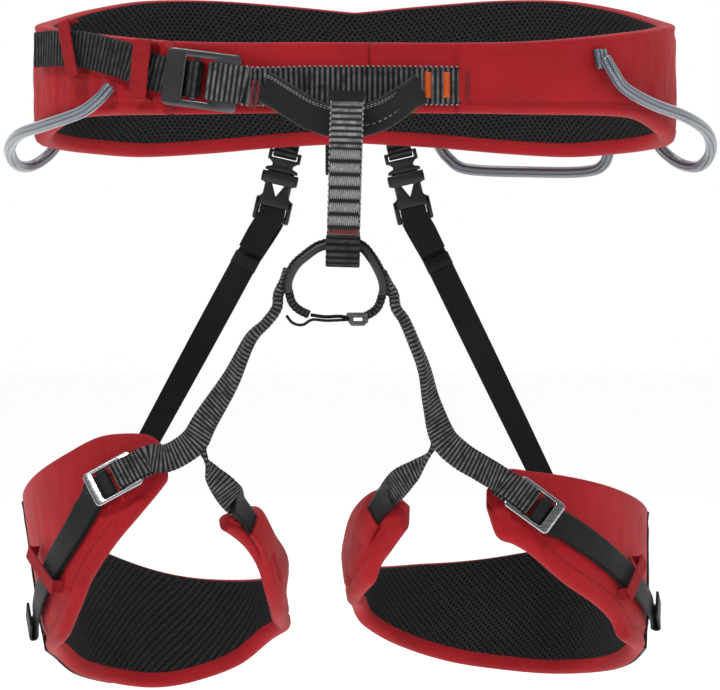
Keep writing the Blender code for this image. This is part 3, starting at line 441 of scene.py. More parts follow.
def startMaterial(name, roughness, metallic=0.0, coat=0.0):
    made = bpy.data.materials.new(name)
    made.use_nodes = True
    shader = made.node_tree.nodes["Principled BSDF"]
    shader.inputs["Roughness"].default_value = roughness
    shader.inputs["Metallic"].default_value = metallic
    shader.inputs["Coat Weight"].default_value = coat
    return made, made.node_tree, shader


def feed(tree, socket, value):
    if isinstance(value, bpy.types.NodeSocket):
        tree.links.new(value, socket)
    else:
        socket.default_value = value


def calc(tree, operation, first, second=0.0):
    node = tree.nodes.new("ShaderNodeMath")
    node.operation = operation
    feed(tree, node.inputs[0], first)
    feed(tree, node.inputs[1], second)
    return node.outputs[0]


def mixed(tree, share, first, second):
    node = tree.nodes.new("ShaderNodeMix")
    node.data_type = "RGBA"
    feed(tree, node.inputs[0], share)
    feed(tree, node.inputs[6], first if isinstance(first, bpy.types.NodeSocket) else (*first, 1))
    feed(tree, node.inputs[7], second if isinstance(second, bpy.types.NodeSocket) else (*second, 1))
    return node.outputs[2]


def softRange(tree, value, low, high):
    node = tree.nodes.new("ShaderNodeMapRange")
    node.interpolation_type = "SMOOTHSTEP"
    feed(tree, node.inputs["Value"], value)
    node.inputs["From Min"].default_value = low
    node.inputs["From Max"].default_value = high
    return node.outputs[0]


# The piece's own lengths along and across, in metres.
def uvOf(tree):
    uvNode = tree.nodes.new("ShaderNodeUVMap")
    uvNode.uv_map = "UVMap"
    split = tree.nodes.new("ShaderNodeSeparateXYZ")
    tree.links.new(uvNode.outputs[0], split.inputs[0])
    return split.outputs[0], split.outputs[1]


def noiseOf(tree, scale, detail=3.0, stretch=(1, 1, 1)):
    coordinates = tree.nodes.new("ShaderNodeTexCoord")
    mapping = tree.nodes.new("ShaderNodeMapping")
    mapping.inputs["Scale"].default_value = stretch
    texture = tree.nodes.new("ShaderNodeTexNoise")
    texture.inputs["Scale"].default_value = scale
    texture.inputs["Detail"].default_value = detail
    tree.links.new(coordinates.outputs["Object"], mapping.inputs[0])
    tree.links.new(mapping.outputs[0], texture.inputs["Vector"])
    return texture.outputs[0]


# 0 to 1 and back once in each pitch.
def wave(tree, value, pitch):
    turn = calc(tree, "MULTIPLY", value, 2 * math.pi / pitch)
    return calc(tree, "MULTIPLY_ADD", calc(tree, "SINE", turn), 0.5)


def setBump(tree, shader, height, distance, strength=1.0):
    bump = tree.nodes.new("ShaderNodeBump")
    bump.inputs["Strength"].default_value = strength
    bump.inputs["Distance"].default_value = distance
    tree.links.new(height, bump.inputs["Height"])
    tree.links.new(bump.outputs[0], shader.inputs["Normal"])


# A plain weave with soft patches of painted shade in a darker tone.
def wovenFabric(name, colour, shade, pitch, roughness, height=0.00008):
    made, tree, shader = startMaterial(name, roughness)
    along, across = uvOf(tree)
    warp, weft = wave(tree, along, pitch), wave(tree, across, pitch)
    weave = calc(tree, "MULTIPLY", warp, weft)
    # Soft noise patches of painted shade pull the base colour towards the darker tone.
    paintedShadePatches = softRange(tree, noiseOf(tree, 28.0, 4.0), 0.35, 0.7)
    base = mixed(tree, calc(tree, "MULTIPLY", paintedShadePatches, 0.45), colour, shade)
    grain = softRange(tree, weave, 0.0, 0.5)
    colourOut = mixed(tree, calc(tree, "MULTIPLY", calc(tree, "SUBTRACT", 1.0, grain), 0.28), base, shade)
    feed(tree, shader.inputs["Base Color"], colourOut)
    shader.inputs["Sheen Weight"].default_value = 0.04
    shader.inputs["Specular IOR Level"].default_value = 0.2
    creases = noiseOf(tree, 75.0, 5.0, (1, 1, 0.45))
    relief = calc(tree, "ADD", calc(tree, "MULTIPLY", weave, height / 0.0010), creases)
    setBump(tree, shader, relief, 0.0010)
    return made


# A spacer mesh with staggered oval holes, filled with near-black painted shade.
def perforatedMesh(name, colour, hole, pitch):
    made, tree, shader = startMaterial(name, 0.85)
    shader.inputs["Specular IOR Level"].default_value = 0.15
    along, across = uvOf(tree)
    row = calc(tree, "DIVIDE", across, pitch * 0.62)
    shift = calc(tree, "MULTIPLY", calc(tree, "FLOORED_MODULO", calc(tree, "FLOOR", row), 2.0), 0.5)
    place = calc(tree, "ADD", calc(tree, "DIVIDE", along, pitch), shift)
    x = calc(tree, "SUBTRACT", calc(tree, "FRACT", place), 0.5)
    y = calc(tree, "MULTIPLY", calc(tree, "SUBTRACT", calc(tree, "FRACT", row), 0.5), 0.62)
    reach = calc(
        tree, "SQRT", calc(tree, "ADD", calc(tree, "MULTIPLY", x, x), calc(tree, "MULTIPLY", y, y))
    )
    solid = softRange(tree, reach, 0.17, 0.28)
    fibre = noiseOf(tree, 1600.0, 2.0)
    thread = mixed(tree, softRange(tree, fibre, 0.35, 0.7), colour, [part * 2.4 for part in colour])
    # The holes take the near-black hole colour as painted shade.
    feed(tree, shader.inputs["Base Color"], mixed(tree, solid, hole, thread))
    setBump(tree, shader, solid, 0.0005)
    return made


# Dark webbing with rib crests painted lighter, a painted highlight that leaves painted shade in the
# grooves, and a fine weave along them.
def ribbedWebbing(name, dark, light, pitch, share=0.7):
    made, tree, shader = startMaterial(name, 0.72)
    along, across = uvOf(tree)
    # Painted highlight on the rib crests and painted shade in the grooves; the fine yarn wave and a noise
    # vary how light each crest is painted.
    crest = softRange(tree, wave(tree, calc(tree, "SUBTRACT", along, pitch / 4), pitch), 0.10, 0.95)
    yarn = wave(tree, calc(tree, "ADD", across, calc(tree, "MULTIPLY", along, 0.6)), 0.0007)
    worn = softRange(tree, noiseOf(tree, 260.0, 4.0), 0.25, 0.7)
    twist = calc(tree, "ADD", calc(tree, "MULTIPLY", yarn, 0.35), calc(tree, "MULTIPLY", worn, 0.65))
    crestHighlight = calc(tree, "MULTIPLY", crest, twist)
    feed(tree, shader.inputs["Base Color"], mixed(tree, calc(tree, "MULTIPLY", crestHighlight, share), dark, light))
    shader.inputs["Specular IOR Level"].default_value = 0.2
    setBump(tree, shader, yarn, 0.00012)
    return made


def plainMetal(name, colour, roughness, scratch):
    made, tree, shader = startMaterial(name, roughness, 1.0)
    streaks = noiseOf(tree, 60.0, 5.0, (1, 1, 14))
    worn = [min(part * 1.35, 1) for part in colour]
    feed(tree, shader.inputs["Base Color"], mixed(tree, softRange(tree, streaks, 0.4, 0.7), colour, worn))
    grain = softRange(tree, noiseOf(tree, 900.0, 4.0), 0.2, 0.9)
    feed(tree, shader.inputs["Roughness"], calc(tree, "MULTIPLY_ADD", grain, scratch))
    tree.nodes[-1].inputs[2].default_value = roughness
    setBump(tree, shader, streaks, 0.00002)
    return made


def grainedPlastic(name, colour, roughness, grain=700.0, height=0.00005):
    made, tree, shader = startMaterial(name, roughness)
    speckle = noiseOf(tree, grain, 3.0)
    lighter = [part * 1.8 + 0.004 for part in colour]
    feed(
        tree, shader.inputs["Base Color"],
        mixed(tree, softRange(tree, speckle, 0.45, 0.8), colour, lighter)
    )
    setBump(tree, shader, speckle, height)
    return made


# A clear glossy tube over a cord with a herringbone of light and dark yarns.
def cordInTube(name):
    made, tree, shader = startMaterial(name, 0.22, coat=0.9)
    along, across = uvOf(tree)
    fold = calc(
        tree, "ABSOLUTE",
        calc(tree, "SUBTRACT", calc(tree, "FRACT", calc(tree, "DIVIDE", across, 0.0023562)), 0.5)
    )
    slant = calc(tree, "ADD", along, calc(tree, "MULTIPLY", fold, 0.0030))
    yarn = softRange(tree, wave(tree, slant, 0.0011), 0.35, 0.75)
    tone = mixed(tree, yarn, (0.020, 0.030, 0.044), (0.34, 0.39, 0.45))
    edge = softRange(tree, fold, 0.14, 0.24)
    feed(tree, shader.inputs["Base Color"], mixed(tree, edge, (0.030, 0.042, 0.060), tone))
    shader.inputs["Coat Roughness"].default_value = 0.08
    setBump(tree, shader, yarn, 0.00006)
    return made


redFabric = wovenFabric("redNylonWeave", (0.42, 0.0085, 0.015), (0.22, 0.003, 0.006), 0.00075, 0.66)
redBand = ribbedWebbing("redKeeperWeb", (0.24, 0.005, 0.009), (0.52, 0.016, 0.024), 0.0025)
linerMesh = perforatedMesh("blackLinerMesh", (0.0125, 0.0125, 0.0135), (0.0006, 0.0006, 0.0006), 0.0030)
greyWeb = ribbedWebbing("greyRibbedWeb", (0.004, 0.004, 0.0045), (0.26, 0.262, 0.266), 0.0025)
belayWeb = ribbedWebbing("belayGreyWeb", (0.018, 0.018, 0.019), (0.52, 0.52, 0.52), 0.0025)
blackWeb = ribbedWebbing("blackRibbedWeb", (0.0025, 0.0025, 0.003), (0.095, 0.096, 0.10), 0.0025)
blackCloth = wovenFabric("blackSmoothCloth", (0.0085, 0.0088, 0.0095), (0.003, 0.003, 0.0035), 0.0009, 0.55)
elasticWeb = wovenFabric(
    "blackElasticWeave", (0.0085, 0.0085, 0.009), (0.003, 0.003, 0.003), 0.0016, 0.8, 0.00015
)
rubber = grainedPlastic("wearSleeveRubber", (0.019, 0.0195, 0.021), 0.45, 900.0, 0.0001)
gunmetal = plainMetal("gunmetalBuckle", (0.085, 0.088, 0.095), 0.28, 0.12)
steel = plainMetal("polishedSteel", (0.40, 0.405, 0.42), 0.16, 0.10)
matteBlack = grainedPlastic("matteBlackCoat", (0.005, 0.005, 0.0055), 0.5)
blackPlastic = grainedPlastic("blackBucklePlastic", (0.006, 0.006, 0.007), 0.36)
hookGrey = grainedPlastic("greyHook", (0.055, 0.055, 0.058), 0.32)
gearTube = cordInTube("cordInClearTube")
orangeThread = wovenFabric("orangeThread", (0.80, 0.15, 0.02), (0.45, 0.06, 0.008), 0.0003, 0.6)
lightThread = grainedPlastic("lightThread", (0.25, 0.255, 0.26), 0.6)
darkThread = grainedPlastic("darkRedThread", (0.15, 0.005, 0.009), 0.6)
print("materials ready")


# The belt's surface, and the padded shells

beltValues = {
    "centreX": 0.001,
    "halfWidth": 0.160,
    "halfDepth": 0.092,
    "thickness": 0.0090,
    "recess": 0.0026,  # how far the right front lies below the shell, where the strap crosses it
    "start": 2.7,  # degrees from the front centre, towards the right and round the back
    "strapExit": 18.2,
    "end": 325.0,
    "hemTop": 0.0012,
    "hemBottom": 0.0070,
    "puff": 0.0006,
}
beltAngles = (0, 30, 60, 75, 90, 105, 120, 135, 150, 165, 180)
beltTop = (0.0158, 0.0171, 0.0246, 0.0286, 0.0320, 0.0365, 0.0432, 0.0490, 0.0506, 0.0488, 0.0453)
beltBottom = (
    -0.0178, -0.0178, -0.0178, -0.0238, -0.0280, -0.0296, -0.0308, -0.0316, -0.0292, -0.0255, -0.0230
)


def beltPoint(angle, offset, z):
    turn = math.radians(angle)
    x = beltValues["centreX"] + (beltValues["halfWidth"] + offset) * math.sin(turn)
    return Vector((x, -(beltValues["halfDepth"] + offset) * math.cos(turn), z))


def beltOut(angle):
    turn = math.radians(angle)
    out = Vector((beltValues["halfDepth"] * math.sin(turn), -beltValues["halfWidth"] * math.cos(turn), 0))
    return out.normalized()


def beltEdges(angle):
    folded = abs((angle + 180) % 360 - 180)
    return tableValue(beltAngles, beltBottom, folded), tableValue(beltAngles, beltTop, folded)


def evenStops(start, end, step):
    count = max(2, round(abs(end - start) / step))
    return [start + (end - start) * i / count for i in range(count + 1)]


# A closed pad round a curved surface: outer face, rounded top, inner face, rounded bottom.
# depthsAt(angle) gives the outer and inner offsets; dentAt(length, z, bottom, top, outer) moves a
# face out.
def makePad(stops, pointAt, edgesAt, depthsAt, radii, dentAt, faceRows=16, arcRows=6):
    rows = 2 * (faceRows + arcRows)
    columns, length, before = [], 0.0, None
    for angle in stops:
        bottom, top = edgesAt(angle)
        outer, inner = depthsAt(angle)
        low, high = (min(radius, (top - bottom) * 0.3) for radius in radii)
        middle, half = (outer + inner) / 2, (outer - inner) / 2
        here = pointAt(angle, 0, (bottom + top) / 2)
        length += (here - before).length if before else 0
        before = here
        spots = []
        for j in range(rows + 1):
            k = j % rows
            if k < faceRows:
                z = bottom + low + (top - bottom - low - high) * k / faceRows
                offset = outer + dentAt(length, z, bottom, top, True)
            elif k < faceRows + arcRows:
                turn = math.pi * (k - faceRows) / arcRows
                z, offset = top - high + high * math.sin(turn), middle + half * math.cos(turn)
            elif k < 2 * faceRows + arcRows:
                z = top - high - (top - bottom - low - high) * (k - faceRows - arcRows) / faceRows
                offset = inner - dentAt(length, z, bottom, top, False)
            else:
                turn = math.pi * (k - 2 * faceRows - arcRows) / arcRows
                z, offset = bottom + low - low * math.sin(turn), middle - half * math.cos(turn)
            spots.append((offset, z))
        column, run = [], 0.0
        for j, spot in enumerate(spots):
            if j:
                run += math.dist(spot, spots[j - 1])
            column.append((pointAt(angle, *spot), (length, run)))
        columns.append(column)
    return wrapGrid(len(stops) - 1, rows, lambda i, j: columns[i][j], closedAcross=True)


def groove(distance, width, depth):
    return -depth * math.exp(-((distance / width) ** 2))


# Soft folds, longer up and down than along.
def crumple(length, z, size, seed):
    fold = noise.noise(Vector((length / size, z / (size * 2.2), seed)))
    return fold + 0.4 * noise.noise(Vector((length / size * 2.7, z / size, seed + 9)))


def beltDepths(angle):
    recess = beltValues["recess"] if angle < beltValues["strapExit"] else 0.0
    return -recess, -beltValues["thickness"]


def beltDent(length, z, bottom, top, outer):
    share = (z - bottom) / (top - bottom)
    puff = beltValues["puff"] * 4 * share * (1 - share)
    if not outer:
        return puff * 0.6 + groove(z - bottom - beltValues["hemBottom"], 0.0008, 0.0005)
    total = 0.76
    nearBuckle = smoothStep(length, total * 0.80, total * 0.93)
    folds = crumple(length, z, 0.011, 3) * (0.0009 + 0.0022 * nearBuckle)
    seams = groove(top - z - 0.0048, 0.0007, 0.0007) + groove(z - bottom - 0.0052, 0.0008, 0.0012)
    return puff + folds * min(1, 5 * share, 5 * (1 - share)) + seams


exitStep = beltValues["strapExit"]
frontStops = evenStops(beltValues["start"], exitStep - 0.08, 0.7)
beltStops = [*frontStops, *evenStops(exitStep, beltValues["end"], 0.75)]
mesh = makePad(beltStops, beltPoint, beltEdges, beltDepths, (0.0032, 0.0013), beltDent)
beltShell = finishPiece(
    "beltShellFabric", mesh, redFabric, "waist_belt",
    stands=("belt_shell", "belt_foam", "belt_load_webbing"),
)


def linerEdges(angle):
    bottom, top = beltEdges(angle)
    return bottom + beltValues["hemBottom"], top - beltValues["hemTop"]


def linerDepths(angle):
    return -beltValues["thickness"] + 0.0004, -beltValues["thickness"] - 0.0006


def linerDent(length, z, bottom, top, outer):
    return 0 if outer else crumple(length, z, 0.02, 14) * 0.0003 + 0.0003


linerStops = evenStops(beltValues["start"] + 0.6, beltValues["end"] - 0.6, 1.2)
mesh = makePad(linerStops, beltPoint, linerEdges, linerDepths, (0.0006, 0.0006), linerDent, 14, 3)
finishPiece("beltLinerMesh", mesh, linerMesh, "waist_belt", stands=("belt_liner",))


def tongueDent(length, z, bottom, top, outer):
    seam = groove(top - z - 0.0035, 0.0005, 0.0004) + groove(z - bottom - 0.0035, 0.0005, 0.0004)
    return (crumple(length, z, 0.012, 5) * 0.0003 + seam) if outer else 0


mesh = makePad(
    evenStops(-33.8, 2.6, 0.7), beltPoint, beltEdges, lambda angle: (-0.0026, -0.0062),
    (0.0016, 0.0012), tongueDent, 16, 4
)
tongue = finishPiece("beltTonguePad", mesh, redFabric, "waist_belt", stands=("belt_tongue",))
print("belt ready")


# Waist strap, buckle and keepers

buckleSizes = {
    "waist": {
        "length": 0.0370, "height": 0.0276, "thickness": 0.0026, "opening": (-0.0086, 0.0052),
        "openingHeight": 0.0206, "slider": (-0.0054, -0.0028), "strap": 0.0018, "corner": 0.0030,
    },
    "leg": {
        "length": 0.0256, "height": 0.0190, "thickness": 0.0022, "opening": (-0.0080, 0.0032),
        "openingHeight": 0.0150, "slider": (-0.0050, -0.0026), "strap": 0.0014, "corner": 0.0024,
    },
}
sliderThickness = 0.0012
slack = 0.0003


# Strap centres over the right bar, round its inner edge and back underneath.
def foldOverBar(size, local):
    edge, end = size["opening"][1], size["length"] / 2
    over = size["thickness"] / 2 + slack + size["strap"] / 2 + 0.0001
    turn = size["strap"] / 2 + slack + 0.0003
    return [
        local(end + 0.0080, over - 0.0014), local(end + 0.0015, over), local(edge + 0.0008, over),
        local(edge - turn * 0.75, over - 0.0006), local(edge - turn - 0.0004, 0.0),
        local(edge - turn * 0.75, 0.0006 - over), local(edge + 0.0008, -over), local(end - 0.0005, -over),
        local(end + 0.0075, -over - 0.0008),
    ]


# Strap centres under the frame from the left, round the slider and back.
def turnRoundSlider(size, local):
    half = size["strap"] / 2
    top = -size["thickness"] / 2 - slack
    upper = top - half - 0.0002
    lower = min(upper - 2 * half, top - sliderThickness - half) - slack
    over = top + half + slack + 0.0011
    far, left = size["slider"][1] + slack + half, size["slider"][0] - slack - half
    start = -size["length"] / 2
    return [
        local(start + 0.0010, lower), local(size["slider"][0], lower), local(far - 0.0010, lower),
        local(far, lower + 0.0010), local(far, over - 0.0010), local(far - 0.0010, over),
        local(left + 0.0012, over), local(left, over - 0.0009), local(left - 0.0002, upper + 0.0010),
        local(left - 0.0010, upper), local(start + 0.0010, upper),
    ]


def addBuckle(kind, name, origin, axes, metal, frameBody, sliderBody, barCoat=None):
    size = buckleSizes[kind]
    mesh = bmesh.new()
    hole = (*size["opening"], size["openingHeight"] / 2)
    framePlate(mesh, (size["length"], size["height"]), hole, size["thickness"], size["corner"], 0.0006)
    placeMesh(mesh, origin, axes)
    finishPiece(f"{name}Frame", mesh, metal, frameBody, stands=(f"{cadName(name)}_frame",))
    if barCoat:
        mesh = bmesh.new()
        low = (-size["length"] / 2 + 0.0006, -size["height"] / 2 + 0.0012, size["thickness"] / 2 - 0.0002)
        high = (size["opening"][0] - 0.0010, size["height"] / 2 - 0.0012, size["thickness"] / 2 + 0.0003)
        blockInto(mesh, low, high, 0.0004, 3)
        placeMesh(mesh, origin, axes)
        finishPiece(f"{name}BarCoat", mesh, barCoat, frameBody)
    mesh = bmesh.new()
    top = -size["thickness"] / 2 - slack
    reach = size["height"] / 2 - 0.0006
    blockInto(
        mesh, (size["slider"][0], -reach, top - sliderThickness), (size["slider"][1], reach, top),
        0.0004, 3
    )
    placeMesh(mesh, origin, axes)
    finishPiece(f"{name}Slider", mesh, metal, sliderBody, stands=(f"{cadName(name)}_slider",))


def cadName(name):
    return {
        "waistBuckle": "waist_buckle", "legBuckleLeft": "leg_buckle_left",
        "legBuckleRight": "leg_buckle_right"
    }[name]


buckleAt = beltPoint(-26.4, 0.0042, -0.0020)
right = (beltPoint(-25.4, 0, 0) - beltPoint(-27.4, 0, 0)).normalized()
right = Matrix.Rotation(math.radians(4), 3, "Z") @ right
right = (right - Vector((0, 0, math.tan(math.radians(8))))).normalized()
out = right.cross(upAxis).normalized()
up = out.cross(right).normalized()
addBuckle(
    "waist", "waistBuckle", buckleAt, (right, up, out), gunmetal, "waist_buckle", "waist_belt",
    matteBlack
)


def waistLocal(u, w):
    return buckleAt + right * u + out * w


frontRun = [beltPoint(angle, -0.0014, -0.005) for angle in evenStops(18.6, -9.0, 3.4)]
folded = foldOverBar(buckleSizes["waist"], waistLocal)
sides = [upAxis] * len(frontRun) + [up] * len(folded)
mesh = makeBand(frontRun + folded, sides, 0.0182, 0.0018, 0.0005, (0.0025, 0.00028), flats=10)
waistStrap = finishPiece("waistStrapWeb", mesh, greyWeb, None, stands=("waist_strap",))
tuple(folded[0])
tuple(folded[2])
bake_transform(waistStrap)

mesh = bmesh.new()
for height in (0.0042, -0.0140):
    line = [beltPoint(angle, -0.0004, height) for angle in evenStops(18.0, -9.0, 3.4)]
    line += [
        folded[0] + up * (height + 0.005) + out * 0.0009,
        folded[1] + up * (height + 0.005) + out * 0.0009
    ]
    stitchLine(mesh, line, lambda point: beltOut(0), 0.0010, 0.0015, 0.00040)
finishPiece("waistStrapEdge", mesh, lightThread, "waist_belt")

tail = [(-38, 0.0038), (-42, 0.0078), (-46, 0.0105), (-50, 0.0130), (-54, 0.0148), (-58, 0.0157),
        (-62, 0.0163),
        (-66, 0.0167), (-69.5, 0.0168)]
turned = turnRoundSlider(buckleSizes["waist"], waistLocal)
route = [beltPoint(angle, 0.0015, z) for angle, z in tail[5::-1]] + turned
route += [beltPoint(angle, 0.0038, z) for angle, z in tail] + [beltPoint(-72.5, 0.0050, 0.0168)]
sides = [upAxis] * 6 + [up] * len(turned) + [upAxis] * 10
mesh = makeBand(route, sides, 0.0176, 0.0018, 0.0005, (0.0024, 0.00028), flats=10)
finishPiece(
    "waistTailWeb", mesh, blackWeb, "waist_belt", stands=("waist_adjusting_strap",)
)


# A sewn band over a strap, open towards the pad below it.
def addKeeper(name, start, end, out, width, reach, body, node):
    rise = (end - start).normalized()
    route = [
        start, start + rise * 0.0006 + out * reach * 0.7, start + rise * 0.0018 + out * reach,
        end - rise * 0.0018 + out * reach, end - rise * 0.0006 + out * reach * 0.7, end,
    ]
    mesh = makeBand(route, out.cross(rise), width, 0.0012, 0.0003, (0.0010, 0.00007))
    finishPiece(name, mesh, redBand, body, stands=(node,))


for name, low, high, width, node in (
    ("frontKeeper", (-38.9, -0.0105), (-37.7, 0.0172), 0.0095, "keeper_front"),
    ("sideKeeper", (-54.9, 0.0022), (-58.1, 0.0284), 0.0075, "keeper_side"),
):
    addKeeper(
        name, beltPoint(low[0], 0.0014, low[1]), beltPoint(high[0], 0.0014, high[1]),
        beltOut((low[0] + high[0]) / 2), width, 0.0072, "waist_belt", node,
    )
print("waist strap and buckle ready")


# Tie-in sleeve, belay loop and arch

sleeve = [
    (-0.0420, -0.0995, -0.0062), (-0.0375, -0.1010, -0.0085), (-0.0290, -0.1045, -0.0140),
    (-0.0180, -0.1085, -0.0205), (-0.0030, -0.1100, -0.0240), (0.0120, -0.1085, -0.0205),
    (0.0225, -0.1035, -0.0140), (0.0285, -0.0975, -0.0092), (0.0318, -0.0945, -0.0072),
]
mesh = makeBand(sleeve, upAxis, 0.0150, 0.0036, 0.001, flats=8, rounds=6)
finishPiece("tieInSleeveCloth", mesh, blackCloth, "waist_belt", stands=("tie_in_sleeve",))
mesh = bmesh.new()
front = Vector((0, -1, 0))
for lift in (0.0062, 0.0053):
    line = [Vector(point) + Vector((0, -0.0019, lift)) for point in sleeve]
    stitchLine(mesh, line, lambda point: front, 0.0014, 0.0005, 0.00016)
line = [Vector(point) + Vector((0, -0.0019, -0.0030)) for point in sleeve[4:]]
stitchLine(mesh, line, lambda point: front, 0.0019, 0.0013, 0.00018)
finishPiece("sleeveStitches", mesh, lightThread, "waist_belt")

belayTop, belayBottom = Vector((-0.0024, -0.1100, -0.0100)), Vector((-0.0047, -0.1085, -0.0905))
down = (belayBottom - belayTop).normalized()
side = Vector((1, 0, 0))
side = (side - side.dot(down) * down).normalized()
back = down.cross(side).normalized()
back = back if back.y > 0 else -back
belayLength, webHalf = (belayBottom - belayTop).length, 0.0020
topHalf, bottomHalf = 0.0060 + webHalf, 0.0085 + webHalf
outline = []
for depth, reach, radius, start in (
    (0.0050 - topHalf, webHalf + 0.0050, 0.0050, 180),
    (topHalf - 0.0050, webHalf + 0.0050, 0.0050, 270),
    (bottomHalf - 0.0055, belayLength - webHalf - 0.0055, 0.0055, 0),
    (0.0055 - bottomHalf, belayLength - webHalf - 0.0055, 0.0055, 90),
):
    for turn in (0, 22.5, 45, 67.5, 90):
        bend = math.radians(start + turn)
        outline.append((depth + radius * math.cos(bend), reach + radius * math.sin(bend)))
for low, high in ((9, 10), (22, 23)):
    (depthA, reachA), (depthB, reachB) = outline[low], outline[high % len(outline)]
    between = [(depthA + (depthB - depthA) * k / 4, reachA + (reachB - reachA) * k / 4) for k in (1, 2, 3)]
    outline[low + 1:low + 1] = between
route = [belayTop + back * depth + down * reach for depth, reach in outline]
mesh = makeBand(route, side, 0.0156, 0.0040, 0.0005, (0.0028, 0.00040), closed=True, flats=10, rounds=6)
finishPiece("belayLoopWeb", mesh, belayWeb, "belay_loop", stands=("belay_loop",))


# A point on the loop's front face at a reach down it.
def belayFace(reach, lift=0.0):
    depth = -(topHalf + webHalf + slack + 0.0006 + lift)
    deeper = -(bottomHalf + webHalf + slack + 0.0006 + lift)
    return belayTop + back * (depth + (deeper - depth) * reach / belayLength) + down * reach


wrapHalf, wrapEdge = bottomHalf + webHalf + 0.0006, belayLength - webHalf - 0.0055
wrap = [(wrapHalf, 0.0668), (wrapHalf, 0.0700)]
for depth, start in ((bottomHalf - 0.0055, 0), (0.0055 - bottomHalf, 90)):
    for turn in (0, 22.5, 45, 67.5, 90):
        bend = math.radians(start + turn)
        wrap.append((depth + 0.0081 * math.cos(bend), wrapEdge + 0.0081 * math.sin(bend)))
wrap += [(-wrapHalf, 0.0700), (-wrapHalf, 0.0668)]
route = [belayTop + back * depth + down * reach for depth, reach in wrap]
mesh = makeBand(route, side, 0.0162, 0.0014, 0.0005, (0.0031, 0.0006), flats=10)
finishPiece("belayLowerWrap", mesh, blackWeb, "belay_loop")
mesh = makeBand([belayFace(-0.0005), belayFace(0.0015), belayFace(0.0035)], side, 0.0166, 0.0020, 0.0005)
finishPiece("belayTopBand", mesh, blackCloth, "belay_loop")
mesh = makeBand([belayFace(0.0260), belayFace(0.0470), belayFace(0.0680)], side, 0.0146, 0.0012, 0.0005,
                (0.0062, 0.0005), flats=10)
finishPiece("belayOverlapWeb", mesh, belayWeb, "belay_loop", stands=("belay_loop_overlap",))
mesh = bmesh.new()
for k in range(6):
    middle = belayFace(0.0292 + 0.0062 * k, 0.0006)
    barTack(mesh, middle, side, down, 0.0136, 0.0048, -back, 0.00045, 0.00019)
finishPiece("belayZigzag", mesh, lightThread, "belay_loop")
mesh = bmesh.new()
for edge in (-0.0076, 0.0076):
    line = [
        belayFace(
            reach, -0.0010 if reach < 0.026 else 0.0004
        ) + side * edge for reach in (0.004, 0.015, 0.026, 0.045, 0.064)
    ]
    stitchLine(mesh, line, lambda point: -back, 0.0011, 0.0015, 0.00042)
finishPiece("belaySelvedge", mesh, lightThread, "belay_loop")
mesh = bmesh.new()
barTack(mesh, belayFace(0.0655, 0.0006), side, down, 0.0138, 0.0022, -back, 0.0005, 0.00026)
finishPiece("belayRedTack", mesh, darkThread, "belay_loop")

arch = [
    (-0.0302, -0.1040), (-0.0303, -0.0985), (-0.0270, -0.0915), (-0.0220, -0.0868), (-0.0150, -0.0822),
    (-0.0055, -0.0805), (0.0035, -0.0820), (0.0088, -0.0878), (0.0128, -0.0950), (0.0144, -0.1005),
    (0.0143, -0.1050),
]
archLine = [Vector((x, -0.1075, z)) for x, z in arch]
depthAxis = Vector((0, 1, 0))
mesh = makeBand(archLine, depthAxis, 0.0095, 0.0040, 0.0008, flats=8, rounds=8)
finishPiece("archWearSleeve", mesh, rubber, "waist_belt", stands=("tie_in_arch",))
centre = Vector((-0.0080, -0.1075, -0.1020))
outside = [point + (point - centre).normalized() * 0.0024 for point in archLine]
mesh = makeBand(outside, depthAxis, 0.0088, 0.0014, 0.0005, (0.0022, 0.00040), flats=6)
finishPiece("archWeb", mesh, blackWeb, "waist_belt")


# Bridge below the arch

bridgeY = -0.1075
for name, line, node in (
    ("bridgeTabLeft", [(-0.0303, -0.1025), (-0.0285, -0.1085), (-0.0250, -0.1120), (-0.0205, -0.1142)],
     "bridge_tab_left"),
    ("bridgeTabRight", [(0.0145, -0.1030), (0.0125, -0.1095), (0.0098, -0.1128), (0.0055, -0.1152)],
     "bridge_tab_right"),
):
    mesh = makeBand([(x, bridgeY, z) for x, z in line], depthAxis, 0.0086, 0.0042, 0.0004, (0.0020, 0.0003))
    finishPiece(name, mesh, blackWeb, "waist_belt", stands=(node,))
line = [(-0.0198, -0.1143), (-0.0130, -0.1152), (-0.0060, -0.1150), (-0.0012, -0.1158)]
mesh = makeBand([(x, bridgeY, z) for x, z in line], depthAxis, 0.0080, 0.0017, 0.0005, (0.0012, 0.0001))
finishPiece("bridgeElasticWeb", mesh, elasticWeb, "waist_belt", stands=("bridge_elastic",))
line = [
    (-0.0312, -0.1146), (-0.0280, -0.1182), (-0.0235, -0.1190), (-0.0190, -0.1166), (-0.0120, -0.1170),
    (-0.0020, -0.1166)
]
mesh = makeBand(
    [(x, bridgeY - 0.003, z) for x, z in line], depthAxis, 0.0060, 0.0014, 0.0005, (0.0012, 0.0001)
)
finishPiece("bridgeTail", mesh, elasticWeb, "waist_belt")
mesh = bmesh.new()
blockInto(mesh, (-0.0030, bridgeY - 0.0050, -0.1156), (0.0074, bridgeY + 0.0050, -0.1132), 0.0010, 3)
blockInto(mesh, (-0.0020, bridgeY - 0.0050, -0.1186), (0.0004, bridgeY + 0.0050, -0.1140), 0.0010, 3)
blockInto(mesh, (-0.0012, bridgeY - 0.0050, -0.1195), (0.0062, bridgeY + 0.0050, -0.1172), 0.0010, 3)
blockInto(mesh, (0.0046, bridgeY - 0.0044, -0.1184), (0.0074, bridgeY + 0.0044, -0.1140), 0.0010, 3)
bmesh.ops.recalc_face_normals(mesh, faces=mesh.faces)
finishPiece("bridgeHookShape", mesh, hookGrey, "waist_belt", stands=("bridge_hook",))
print("tie-in points ready")


# Legs: slanted elliptic tubes cut by a top and a bottom edge

